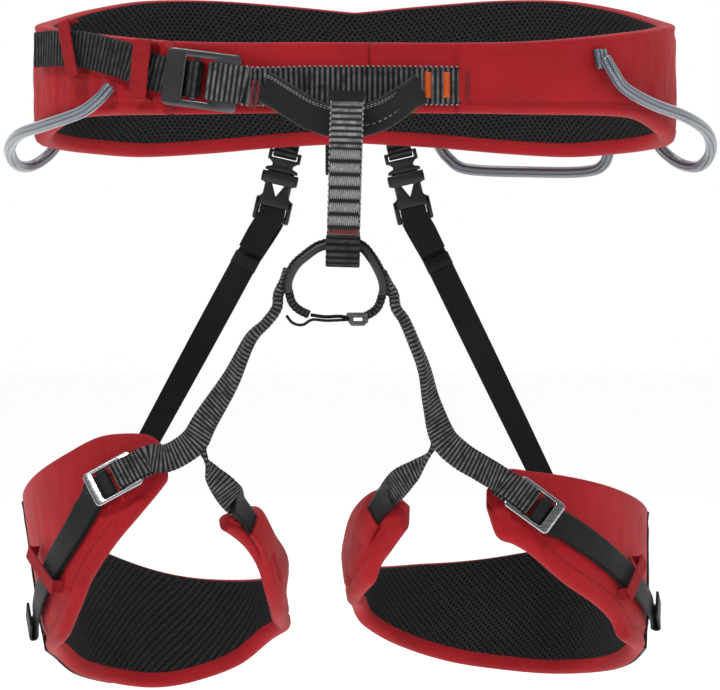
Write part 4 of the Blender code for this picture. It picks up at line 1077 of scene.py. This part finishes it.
legValues = {
    "thickness": 0.0070,
    "referenceZ": -0.240,
    "strapWidth": 0.0138,
    "strapThickness": 0.0014,
    "buckleOffset": 0.0056,
    "puff": 0.0005,
}
legs = {
    "left": {
        "side": -1, "centre": (-0.0947, 0.0010), "halfWidth": 0.0645, "halfDepth": 0.0940,
        "slope": (0.20, -0.45),
        "topAngles": (-14, -9, 2, 14, 32, 60, 90, 120, 143, 172, 199, 238, 268, 290, 300, 312, 321),
        "top": (-0.1760, -0.1715, -0.1705, -0.1725, -0.1812, -0.1945, -0.2085, -0.2245, -0.2378, -0.2490,
                -0.2519, -0.2472, -0.2375, -0.2224, -0.2080, -0.2078, -0.2094),
        "bottomAngles": (-14, -9, 2, 14, 32, 43, 58, 80, 101, 118, 141, 160, 178, 203, 227, 250, 275, 290,
                         300, 309, 321),
        "bottom": (-0.1930, -0.1985, -0.2095, -0.2213, -0.2411, -0.2558, -0.2711, -0.2790, -0.2856, -0.2956,
                   -0.3030, -0.3063, -0.3042, -0.2950, -0.2797, -0.2705, -0.2600, -0.2490, -0.2375, -0.2258,
                   -0.2165),
        "ends": (-14, 321),
        "buckle": (9.0, -0.1950, 16.0),  # angle, height and rise of the strap in degrees
        "strap": ((20.5, -0.2040), (33.0, -0.2205), (49.0, -0.2376), (64.0, -0.2527), (79.0, -0.2660)),
        "keeper": ((60.0, -0.2297), (45.0, -0.2453)),
        "riser": (((-0.0350, -0.1060, -0.1045), (0.0, 1.0, 0.0)),
                  ((-0.0358, -0.1058, -0.1110), (0.0, 1.0, 0.0)),
                  ((-0.0408, -0.1050, -0.1180), (0.0, 1.0, 0.0)), (
                      (-0.0485, -0.1040, -0.1261), (-0.25, 1.0, 0.12)
                  ),
                  (
                      (-0.0578, -0.0995, -0.1451), (-0.55, 0.8, 0.25)
                  ), ((-0.0698, -0.0925, -0.1642), (-0.8, 0.5, 0.40)),
                  (
                      (-0.0752, -0.0885, -0.1738), (-0.80, 0.15, 0.60)
                  ), ((-0.0825, -0.0850, -0.1796), (-0.65, 0.25, 0.75)),
                  ((-0.0898, -0.0815, -0.1828), (-0.55, 0.35, 0.75))),
        "riserRoot": ((-0.0302, -0.1064, -0.0925), (-0.0322, -0.1062, -0.0985)),
        "inner": (((-0.0738, -0.0850, -0.1722), (-0.9, 0.1, 0.35)),
                  ((-0.0705, -0.0810, -0.1830), (-0.2, 1.0, 0.10)),
                  (
                      (-0.0674, -0.0760, -0.1905), (0.75, 0.7, 0.25)
                  ), ((-0.0610, -0.0690, -0.1985), (0.92, 0.3, 0.30))),
        "innerFoot": ((314.5, -0.2105), (306.0, -0.2215)),
        "tuck": 0.0078,
        "rearX": -0.0350, "elasticFoot": 143.0, "name": "Left",
    },
    "right": {
        "side": 1, "centre": (0.0703, 0.0010), "halfWidth": 0.0762, "halfDepth": 0.0890,
        "slope": (-0.05, -0.42),
        "topAngles": (-6, -1, 11, 25, 41, 62, 90, 120, 150, 162, 184, 205, 241, 270, 287, 301, 311, 320),
        "top": (-0.1975, -0.1883, -0.1889, -0.1915, -0.1958, -0.2030, -0.2130, -0.2245, -0.2345, -0.2380,
                -0.2423, -0.2435, -0.2417, -0.2303, -0.2114, -0.2014, -0.1985, -0.2040),
        "bottomAngles": (-6, -2, 5, 11, 26, 42, 53, 60, 94, 111, 128, 152, 173, 194, 217, 238, 251,
                         270, 300,
                         306, 311, 320),
        "bottom": (-0.2060, -0.2186, -0.2228, -0.2271, -0.2416, -0.2532, -0.2625, -0.2715, -0.2822, -0.2902,
                   -0.2955, -0.2986, -0.2974, -0.2932, -0.2839, -0.2722, -0.2630, -0.2575, -0.2440, -0.2350,
                   -0.2291, -0.2170),
        "ends": (-6, 320),
        "buckle": (10.7, -0.2075, 32.0),
        "strap": ((22.0, -0.2160), (37.6, -0.2282), (53.0, -0.2408), (68.0, -0.2527), (83.0, -0.2620)),
        "keeper": ((60.2, -0.2345), (50.4, -0.2500)),
        "riser": (((0.0193, -0.1060, -0.1045), (0.0, 1.0, 0.0)),
                  ((0.0205, -0.1058, -0.1110), (0.0, 1.0, 0.0)),
                  ((0.0245, -0.1050, -0.1170), (0.1, 1.0, 0.05)), (
                      (0.0295, -0.1035, -0.1285), (0.15, 1.0, 0.05)
                  ),
                  (
                      (0.0340, -0.1000, -0.1403), (0.3, 0.95, 0.1)
                  ), ((0.0374, -0.0950, -0.1560), (0.55, 0.8, 0.2)),
                  (
                      (0.0430, -0.0885, -0.1724), (0.80, 0.35, 0.50)
                  ), ((0.0513, -0.0850, -0.1810), (0.65, 0.25, 0.70)),
                  ((0.0609, -0.0825, -0.1870), (0.58, 0.38, 0.72))),
        "riserRoot": ((0.0136, -0.1064, -0.0940), (0.0164, -0.1062, -0.0995)),
        "inner": (((0.0415, -0.0850, -0.1700), (0.9, 0.1, 0.35)),
                  ((0.0372, -0.0810, -0.1800), (0.2, 1.0, 0.20)),
                  ((0.0299, -0.0745, -0.1884), (-0.6, 0.7, 0.65)), (
                      (0.0225, -0.0655, -0.1950), (-0.66, 0.4, 0.70)
                  )),
        "innerFoot": ((311.5, -0.2070), (304.5, -0.2170)),
        "tuck": 0.0042,
        "rearX": 0.0240, "elasticFoot": 148.0, "name": "Right",
    },
}


def legEdges(leg, angle):
    return tableValue(
        leg["bottomAngles"], leg["bottom"], angle
    ), tableValue(leg["topAngles"], leg["top"], angle)


def legOut(leg, angle):
    turn = math.radians(angle)
    along = Vector((leg["side"] * leg["halfWidth"] * math.cos(turn), leg["halfDepth"] * math.sin(turn), 0))
    found = along.cross(Vector((-leg["slope"][0], -leg["slope"][1], 1))).normalized()
    return found if found.dot(Vector((leg["side"] * math.sin(turn), -math.cos(turn), 0))) > 0 else -found


def legPoint(leg, angle, offset, z):
    turn = math.radians(angle)
    drop = legValues["referenceZ"] - z
    x = leg["centre"][0] + leg["side"] * leg["halfWidth"] * math.sin(turn) + leg["slope"][0] * drop
    y = leg["centre"][1] - leg["halfDepth"] * math.cos(turn) + leg["slope"][1] * drop
    return Vector((x, y, z)) + legOut(leg, angle) * offset


def legHem(bottom, top):
    return min(0.0075, (top - bottom) * 0.3)


def legDent(length, z, bottom, top, outer):
    share = (z - bottom) / (top - bottom)
    puff = legValues["puff"] * 4 * share * (1 - share)
    if not outer:
        return puff * 0.5
    hem = legHem(bottom, top)
    folds = crumple(length, z, 0.016, 7) * 0.0008
    seams = groove(z - bottom - hem, 0.0009, 0.0012) + groove(top - z - 0.0045, 0.0006, 0.0006)
    upright = groove(math.fmod(length + 0.02, 0.115) - 0.05, 0.0007, 0.0007)
    return puff + folds * min(1, 5 * share, 5 * (1 - share)) + seams + upright


def addLegPad(side, leg):
    body = f"leg_{side}"
    start, end = leg["ends"]

    def pointAt(angle, offset, z):
        # The lower inner corner is drawn in.
        low = smoothStep(-z, 0.228, 0.262)
        inside = smoothStep(angle, 238, 262) * (1 - smoothStep(angle, 296, 312))
        return legPoint(leg, angle, offset - leg["tuck"] * low * inside, z)

    depths = (0.0, -legValues["thickness"])
    mesh = makePad(
        evenStops(start, end, 0.9), pointAt, lambda angle: legEdges(leg, angle), lambda angle: depths,
        (0.0030, 0.0012), legDent
    )
    shell = finishPiece(
        f"legShell{leg['name']}", mesh, redFabric, body, stands=(
            f"leg_shell_{side}", f"leg_foam_{side}"
        )
    )

    def linerEdgesAt(angle):
        bottom, top = legEdges(leg, angle)
        hem = min(0.006, (top - bottom) * 0.3)
        return bottom + hem, top - 0.0012

    mesh = makePad(
        evenStops(start + 0.8, end - 0.8, 1.4), pointAt, linerEdgesAt,
        lambda angle: (depths[1] + 0.0004, depths[1] - 0.0005), (0.0006, 0.0006), linerDent, 14, 3,
    )
    finishPiece(
        f"legLiner{leg['name']}", mesh, linerMesh, body, stands=(f"leg_liner_{side}",)
    )

    def panelEdges(angle):
        bottom, top = legEdges(leg, angle)
        return bottom + 0.001, top - 0.001

    # The panel lies on the shell, so it takes the folds that start this far round.
    before = [pointAt(angle, 0, sum(legEdges(leg, angle)) / 2) for angle in evenStops(start, 84, 0.9)]
    shift = sum((ahead - here).length for here, ahead in zip(before, before[1:]))
    mesh = makePad(
        evenStops(84, 140, 1.0), pointAt, panelEdges, lambda angle: (0.0009, -0.0010), (0.0006, 0.0006),
        lambda length, z, bottom, top, outer: legDent(
            length + shift, z, bottom, top, True
        ) if outer else 0, 16, 3,
    )
    finishPiece(f"legPanel{leg['name']}", mesh, blackCloth, body)


def addLegStraps(side, leg):
    body, frameBody = f"leg_{side}", f"leg_buckle_{side}"
    size, strapWidth, strapThick = buckleSizes["leg"], legValues["strapWidth"], legValues["strapThickness"]
    angle, z, rise = leg["buckle"]
    origin, out = legPoint(leg, angle, legValues["buckleOffset"], z), legOut(leg, angle)
    slant = Vector((-leg["slope"][0], -leg["slope"][1], 1)).normalized()
    towards = out.cross(slant).normalized()
    towards = -towards if towards.x * leg["side"] > 0 else towards
    right = towards * math.cos(math.radians(rise)) + slant * math.sin(math.radians(rise))
    up = out.cross(right).normalized()
    up = up if up.z > 0 else -up
    name = f"legBuckle{leg['name']}"
    addBuckle("leg", name, origin, (right, up, out), steel, frameBody, body)

    def local(u, w):
        return origin + right * u + out * w

    folded = foldOverBar(size, local)
    root = [(Vector(point), depthAxis) for point in leg["riserRoot"]]
    line = [Vector(point) for point, _ in root + list(leg["riser"])] + folded
    sides = [Vector(across) for _, across in root + list(leg["riser"])] + [up] * len(folded)

    def doubled(share):
        return 1 - 0.25 * (
            1 - smoothStep(share, 0.15, 0.40)
        ), 1.35 + 2.4 * (1 - smoothStep(share, 0.22, 0.48))

    mesh = makeBand(line, sides, strapWidth, strapThick, 0.0004, (0.0020, 0.00034), flats=10, shape=doubled)
    riser = finishPiece(
        f"riser{leg['name']}", mesh, greyWeb, None, stands=(f"riser_{side}",)
    )
    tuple(folded[0])
    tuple(folded[2])
    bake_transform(riser)
    foot = [
        legPoint(leg, place[0], lift, place[1]) for place, lift in zip(leg["innerFoot"], (0.0019, 0.0010))
    ]
    footSide = (foot[1] - foot[0]).normalized().cross(legOut(leg, leg["innerFoot"][0][0]))
    footSide = footSide if footSide.dot(Vector(leg["inner"][-1][1])) > 0 else -footSide
    line = [Vector(point) for point, _ in leg["inner"]] + foot
    sides = [Vector(across) for _, across in leg["inner"]] + [footSide, footSide]

    def twisted(share):
        return 0.42 + 0.58 * smoothStep(share, 0.05, 0.55), 1.7 - 0.7 * smoothStep(share, 0.1, 0.4)

    mesh = makeBand(line, sides, strapWidth, strapThick, 0.0005, (0.0024, 0.00026), flats=10, shape=twisted)
    finishPiece(
        f"riserInner{leg['name']}", mesh, greyWeb, body, stands=(f"riser_inner_{side}",)
    )
    near = [line[-3].lerp(line[-2], 0.45), line[-2], line[-1]]
    mesh = makeBand(near, [sides[-2]] * 3, strapWidth + 0.0006, strapThick + 0.0012, 0.0006, flats=8)
    finishPiece(f"riserInnerEnd{leg['name']}", mesh, blackCloth, body)
    # A red pocket closes over its tip.
    (angleA, zA), (angleB, zB) = leg["innerFoot"]
    steps = [(angleA + (angleB - angleA) * k, zA + (zB - zA) * k) for k in (0.55, 0.9, 1.3, 1.8)]
    pocket = [legPoint(leg, a, lift, h) for (a, h), lift in zip(steps, (0.0026, 0.0028, 0.0018, -0.0006))]
    mesh = makeBand(pocket, footSide, strapWidth + 0.0042, 0.0030, 0.0008, flats=8, rounds=6)
    finishPiece(f"riserPocket{leg['name']}", mesh, redFabric, body)
    lower, upper = 0.0014, 0.0034
    places = [(spot.x, spot.y) for spot in smoothLine([Vector((*place, 0)) for place in leg["strap"]], 3)]

    def strapSide(place, before):
        along = (legPoint(leg, place[0], 0, place[1]) - legPoint(leg, before[0], 0, before[1])).normalized()
        found = along.cross(legOut(leg, place[0]))
        return found if found.dot(up) > 0 else -found

    along = [strapSide(place, before) for place, before in zip(places[1:], places)]
    along = [along[0], *along]
    turned = turnRoundSlider(size, local)
    sewn = len(places) * 2 // 3
    line = [legPoint(leg, a, lower, h) for a, h in reversed(places[:sewn])] + turned
    sides = list(reversed(along[:sewn])) + [up] * len(turned)
    line += [legPoint(leg, a, upper, h) for a, h in places]
    sides += along
    lastAngle, lastZ = places[-1]
    for offset, ahead in ((0.0010, 1.6), (0.0026, 1.8), (0.0034, 0.2), (0.0030, -7.0)):
        line.append(legPoint(leg, lastAngle + ahead, upper + offset, lastZ - ahead * 0.0009))
        sides.append(along[-1])
    mesh = makeBand(line, sides, strapWidth, strapThick, 0.0006, (0.0012, 0.00007), flats=10)
    finishPiece(
        f"legTail{leg['name']}", mesh, blackCloth, body, stands=(
            f"leg_adjusting_strap_{side}",
        )
    )
    high, low = (legPoint(leg, place[0], 0.0014, place[1]) for place in leg["keeper"])
    middle = legOut(leg, (leg["keeper"][0][0] + leg["keeper"][1][0]) / 2)
    addKeeper(f"legKeeper{leg['name']}", high, low, middle, 0.0068, 0.0052, body, f"leg_keeper_{side}")
    # Hem stitches outside and inside the pad's lower edge.
    mesh = bmesh.new()
    for start, end, offset, rise in (
        (14, 88, 0.0002, None), (130, 262, -legValues["thickness"] - 0.0006, 0.0052)
    ):
        line = []
        for angle in evenStops(start, end, 4):
            bottom, top = legEdges(leg, angle)
            line.append(legPoint(leg, angle, offset, bottom + (rise or legHem(bottom, top))))
        away = 1 if rise is None else -1
        middle = Vector((*leg["centre"], 0))
        stitchLine(
            mesh, line, lambda point: away * Vector(
                (point.x - middle.x, point.y - middle.y, 0)
            ).normalized(),
            0.0018, 0.0009, 0.0002,
        )
    finishPiece(f"legStitches{leg['name']}", mesh, darkThread, body)


def addRearAdjuster(side, leg):
    legBody, socketBody = f"leg_{side}", f"riser_socket_{side}"
    splay = math.radians(13)
    down, back = Vector((leg["side"] * math.sin(splay), 0, -math.cos(splay))), Vector((0, 1, 0))
    across = back.cross(down).normalized()
    origin = Vector((leg["rearX"], 0.0955, -0.0255)) + down * 0.0130
    axes = (across, down, back)

    def local(u, d, b=0.0):
        return origin + across * u + down * d + back * b

    angle = 180 - math.degrees(math.asin((leg["rearX"] - beltValues["centreX"]) / beltValues["halfWidth"]))
    line = [beltPoint(angle, 0.0018, height) for height in (0.0300, 0.0100, -0.0080, -0.0200)]
    line += [local(0, -0.0150, -0.0033), local(0, -0.0108, -0.0033), local(0, -0.0091, -0.0027)]
    line += [local(0, -0.0086, -0.0008), local(0, -0.0086, 0.0008), local(0, -0.0091, 0.0027)]
    line += [local(0, -0.0108, 0.0033), local(0, -0.0160, 0.0033)]
    tangent = (beltPoint(angle + 1, 0, 0) - beltPoint(angle - 1, 0, 0)).normalized()
    tangent = tangent if tangent.dot(across) > 0 else -tangent
    mesh = makeBand(line, [tangent] * 4 + [across] * 8, 0.0126, 0.0014, 0.0005, (0.0024, 0.0002), flats=8)
    finishPiece(
        f"riserTab{leg['name']}", mesh, blackWeb, "waist_belt",
        stands=(f"riser_tab_{side}",)
    )
    mesh = bmesh.new()
    blockInto(mesh, (-0.0086, -0.0115, -0.0020), (0.0086, -0.0101, 0.0020), 0.0005, 3)
    blockInto(mesh, (-0.0086, -0.0110, -0.0020), (-0.0067, -0.0060, 0.0020), 0.0005, 3)
    blockInto(mesh, (0.0067, -0.0110, -0.0020), (0.0086, -0.0060, 0.0020), 0.0005, 3)
    neck = [
        (0.0084, -0.0074), (0.0078, -0.0062), (0.0056, -0.0044), (0.0054, -0.0030), (0.0086, -0.0018),
        (0.0086, -0.0003)
    ]
    mirroredPlate(mesh, neck, -0.0020, 0.0020, 0.0004)
    blockInto(mesh, (-0.0071, -0.0010, -0.0015), (-0.0045, 0.0140, 0.0015), 0.0007, 3)
    blockInto(mesh, (0.0045, -0.0010, -0.0015), (0.0071, 0.0140, 0.0015), 0.0007, 3)
    blockInto(mesh, (-0.0062, -0.0020, -0.0015), (0.0062, 0.0050, 0.0015), 0.0004, 2)
    placeMesh(mesh, origin, axes)
    finishPiece(
        f"riserPlug{leg['name']}", mesh, blackPlastic, "waist_belt", stands=(
            f"riser_plug_{side}",
        )
    )
    mesh = bmesh.new()
    for face in (-1, 1):
        low, high = sorted((face * 0.0027, face * 0.0040))
        mirroredPlate(
            mesh, [(0.0088, 0.0003), (0.0096, 0.0012), (0.0097, 0.0044), (0.0080, 0.0064)], low, high,
            0.0005
        )
        body = [
            (0.0, 0.0130), (0.0034, 0.0062), (0.0064, 0.0060), (0.0062, 0.0092), (0.0072, 0.0128),
            (0.0096, 0.0150), (0.0097, 0.0186)
        ]
        mirroredPlate(mesh, body, low, high, 0.0005)
    for edge in (-1, 1):
        low, high = sorted((edge * 0.0081, edge * 0.0096))
        blockInto(mesh, (low, 0.0003, -0.0040), (high, 0.0060, 0.0040), 0.0006, 3)
        low, high = sorted((edge * 0.0071, edge * 0.0097))
        blockInto(mesh, (low, 0.0140, -0.0040), (high, 0.0262, 0.0040), 0.0009, 3)
    blockInto(mesh, (-0.0090, 0.0158, -0.0036), (0.0090, 0.0184, 0.0036), 0.0006, 3)
    blockInto(mesh, (-0.0090, 0.0226, -0.0036), (0.0090, 0.0262, 0.0036), 0.0012, 4)
    placeMesh(mesh, origin, axes)
    finishPiece(
        f"riserSocket{leg['name']}", mesh, blackPlastic, socketBody, stands=(
            f"riser_socket_{side}",
        )
    )
    footAngle = leg["elasticFoot"]
    outward = legOut(leg, footAngle)
    footTop = legEdges(leg, footAngle)[1]
    foot = [legPoint(leg, footAngle, 0.0034, footTop - drop) for drop in (0.0040, 0.0240)]
    bar = local(0, 0.0206)
    near = foot[0] + Vector((0, 0, 0.0110)) + outward * 0.0012
    run = (near - bar).normalized()
    behind = run.cross(across).normalized()
    behind = behind if behind.y > 0 else -behind
    line = [bar + run * 0.0240 - back * 0.0050, bar + run * 0.0120 - back * 0.0052]
    line += [local(0, 0.0240, -0.0058), local(0, 0.0204, -0.0052), local(0, 0.0193, -0.0030)]
    line += [
        local(0, 0.0193, 0.0030), local(0, 0.0204, 0.0052), local(0, 0.0240, 0.0058),
        local(0, 0.0275, 0.0056)
    ]
    sides = [across] * len(line)
    level = outward.cross(upAxis).normalized()
    level = level if level.dot(across) > 0 else -level
    start = bar + run * 0.0300 + behind * 0.0012
    # The sewn loop stays on the socket's bar, and the strap below it rides on no body.
    mesh = makeBand(line + [start], sides + [across], 0.0135, 0.0014, 0.0006, (0.0009, 0.00006), flats=8)
    finishPiece(f"elasticLoop{leg['name']}", mesh, elasticWeb, socketBody)
    seam = [start + run * reach for reach in (-0.0035, 0.0, 0.0035)]
    mesh = makeBand(seam, [across] * 3, 0.0141, 0.0024, 0.0006, flats=8)
    finishPiece(f"elasticSeam{leg['name']}", mesh, blackCloth, socketBody)
    line = [start.lerp(near, step / 5) for step in range(6)] + foot
    sides = [across.lerp(level, step / 5) for step in range(6)] + [level, level]
    mesh = makeBand(line, sides, 0.0135, 0.0014, 0.0006, (0.0009, 0.00006), flats=8)
    elastic = finishPiece(
        f"elasticRiser{leg['name']}", mesh, elasticWeb, None, stands=(
            f"elastic_riser_{side}",
        )
    )
    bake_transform(elastic)


for side, leg in legs.items():
    addLegPad(side, leg)
    addLegStraps(side, leg)
    addRearAdjuster(side, leg)
    print("leg ready:", side)


# Gear loops and the haul loop

gearLoops = {
    "front_left": [(-45.6, 0.0046, -0.0035), (-47.5, 0.0075, -0.0100), (-52, 0.0085, -0.0160),
                   (
                       -63, 0.0095, -0.0212
                   ), (-76, 0.0105, -0.0245), (-89, 0.0125, -0.0305), (-99, 0.0130, -0.0372),
                   (
                       -107, 0.0120, -0.0375
                   ), (-113, 0.0095, -0.0310), (-117, 0.0065, -0.0190), (-118, 0.0046, -0.0100)],
    "front_right": [(47.2, 0.0046, 0.0100), (48, 0.0075, 0.0035), (50.5, 0.0085, -0.0040),
                    (58, 0.0095, -0.0110),
                    (70, 0.0125, -0.0165), (82, 0.0160, -0.0225), (92, 0.0185, -0.0310), (
                        100, 0.0170, -0.0380
                    ),
                    (107, 0.0130, -0.0365), (112, 0.0080, -0.0280), (113, 0.0046, -0.0170)],
    "rear_right": [(127, 0.0046, -0.0120), (128, 0.0070, -0.0240), (130.5, 0.0090, -0.0350),
                   (136, 0.0104, -0.0385),
                   (148, 0.0106, -0.0380), (
                       159.5, 0.0092, -0.0362
                   ), (163, 0.0080, -0.0305), (165, 0.0066, -0.0220),
                   (166, 0.0046, -0.0120)],
    "rear_left": [(-127, 0.0046, 0.0040), (-128.5, 0.0070, -0.0080), (-131, 0.0090, -0.0170),
                  (-137, 0.0104, -0.0215),
                  (
                      -147, 0.0106, -0.0215
                  ), (-155, 0.0090, -0.0180), (-158, 0.0068, -0.0090), (-159, 0.0046, 0.0040)],
}
tubeRadius = 0.0030


def makeTube(line, sides, radius, step=0.0012, around=20):
    stations = stationsAlong(line, sides, step)

    def place(i, j):
        distance, point, _, side, out = stations[i]
        turn = 2 * math.pi * (j % around) / around
        spot = point + (side * math.cos(turn) + out * math.sin(turn)) * radius
        return spot, (distance, 2 * math.pi * radius * j / around)

    return wrapGrid(len(stations) - 1, around, place, closedAcross=True)


for name, stops in gearLoops.items():
    line = [beltPoint(*stop) for stop in stops]
    sides = [beltOut(stop[0]) for stop in stops]
    mesh = makeTube(line, sides, tubeRadius)
    pieceName = "gearLoop" + name.title().replace("_", "")
    finishPiece(pieceName, mesh, gearTube, f"gear_loop_{name}", stands=(f"gear_loop_{name}",))
    # Each end is sewn down under a flat tab of webbing.
    for label, stop in (("Start", stops[0]), ("End", stops[-1])):
        if name == "front_left" and label == "Start":
            continue  # sewn under the tail
        foot = beltPoint(stop[0], 0.0034, stop[2] - 0.0050)
        head = beltPoint(stop[0], 0.0014, stop[2] + 0.0042)
        tangent = (beltPoint(stop[0] + 1, 0, 0) - beltPoint(stop[0] - 1, 0, 0)).normalized()
        mesh = makeBand(
            [foot, foot.lerp(head, 0.5), head], tangent, 0.0078, 0.0030, 0.0005, (0.0030, 0.0002)
        )
        finishPiece(f"{pieceName}{label}Tab", mesh, gearTube, "waist_belt")

haulOutline = [(0.0012, 0.0), (0.0012, -0.0060), (0.0022, -0.0150), (0.0034, -0.0215), (0.0052, -0.0236),
               (0.0070, -0.0215), (0.0082, -0.0150), (0.0082, -0.0060), (0.0070, -0.0012), (0.0035, 0.0010)]
backY = beltPoint(180, 0, 0).y
line = [Vector((-0.0107, backY + 0.0002 + depth, z - 0.0150)) for depth, z in haulOutline]
mesh = makeBand(line, Vector((1, 0, 0)), 0.0080, 0.0013, 0.0005, (0.0020, 0.0002), closed=True)
finishPiece("haulLoopWeb", mesh, blackWeb, "haul_loop", stands=("haul_loop",))
print("gear loops ready")


# Bar tacks and stitch lines on the belt

mesh = bmesh.new()
barTack(mesh, waistLocal(0.0222, 0.0020) - up * 0.0010, up, right, 0.0118, 0.0036, out)
for angle in (12.6, 15.9):
    tangent = (beltPoint(angle + 1, 0, 0) - beltPoint(angle - 1, 0, 0)).normalized()
    barTack(mesh, beltPoint(angle, -0.0003, -0.0045), upAxis, tangent, 0.0122, 0.0036, beltOut(angle))
finishPiece("orangeTacks", mesh, orangeThread, "waist_belt")

mesh = bmesh.new()
for place in (0.0262, 0.0288):
    barTack(mesh, waistLocal(place, 0.0028) - up * 0.0040, up, right, 0.0138, 0.0018, out)
tangent = (beltPoint(20.5, 0, 0) - beltPoint(18.5, 0, 0)).normalized()
barTack(mesh, beltPoint(19.6, 0.0003, -0.0045), upAxis, tangent, 0.0138, 0.0020, beltOut(19.6))
finishPiece("redTacks", mesh, darkThread, "waist_belt")

mesh = bmesh.new()
for start, end, rise in ((19, 96, 0.0052), (-42, -96, 0.0052)):
    line = [beltPoint(angle, 0.0002, beltEdges(angle)[0] + rise) for angle in evenStops(start, end, 4)]
    stitchLine(
        mesh, line, lambda point: Vector((point.x, point.y, 0)).normalized(), 0.0018, 0.0008, 0.00017
    )
for start, end in ((104, 256),):
    inner = -beltValues["thickness"] - 0.0003
    line = [beltPoint(angle, inner, beltEdges(angle)[0] + 0.0055) for angle in evenStops(start, end, 4)]
    stitchLine(
        mesh, line, lambda point: -Vector((point.x, point.y, 0)).normalized(), 0.0018, 0.0010, 0.00020
    )
finishPiece("beltStitches", mesh, darkThread, "waist_belt")
print("stitching ready")


# The look's size, kept beside the shape's own

bpy.context.view_layer.update()
visualLow, visualHigh = Vector((9, 9, 9)), Vector((-9, -9, -9))
for piece in scene.objects:
    if piece.type == "MESH" and piece.name != "floor" and not piece.hide_render:
        for vert in piece.data.vertices:
            spot = piece.matrix_world @ vert.co
            visualLow = Vector(map(min, visualLow, spot))
            visualHigh = Vector(map(max, visualHigh, spot))
{"cad": [list(cadLow), list(cadHigh)], "visual": [list(visualLow), list(visualHigh)]}
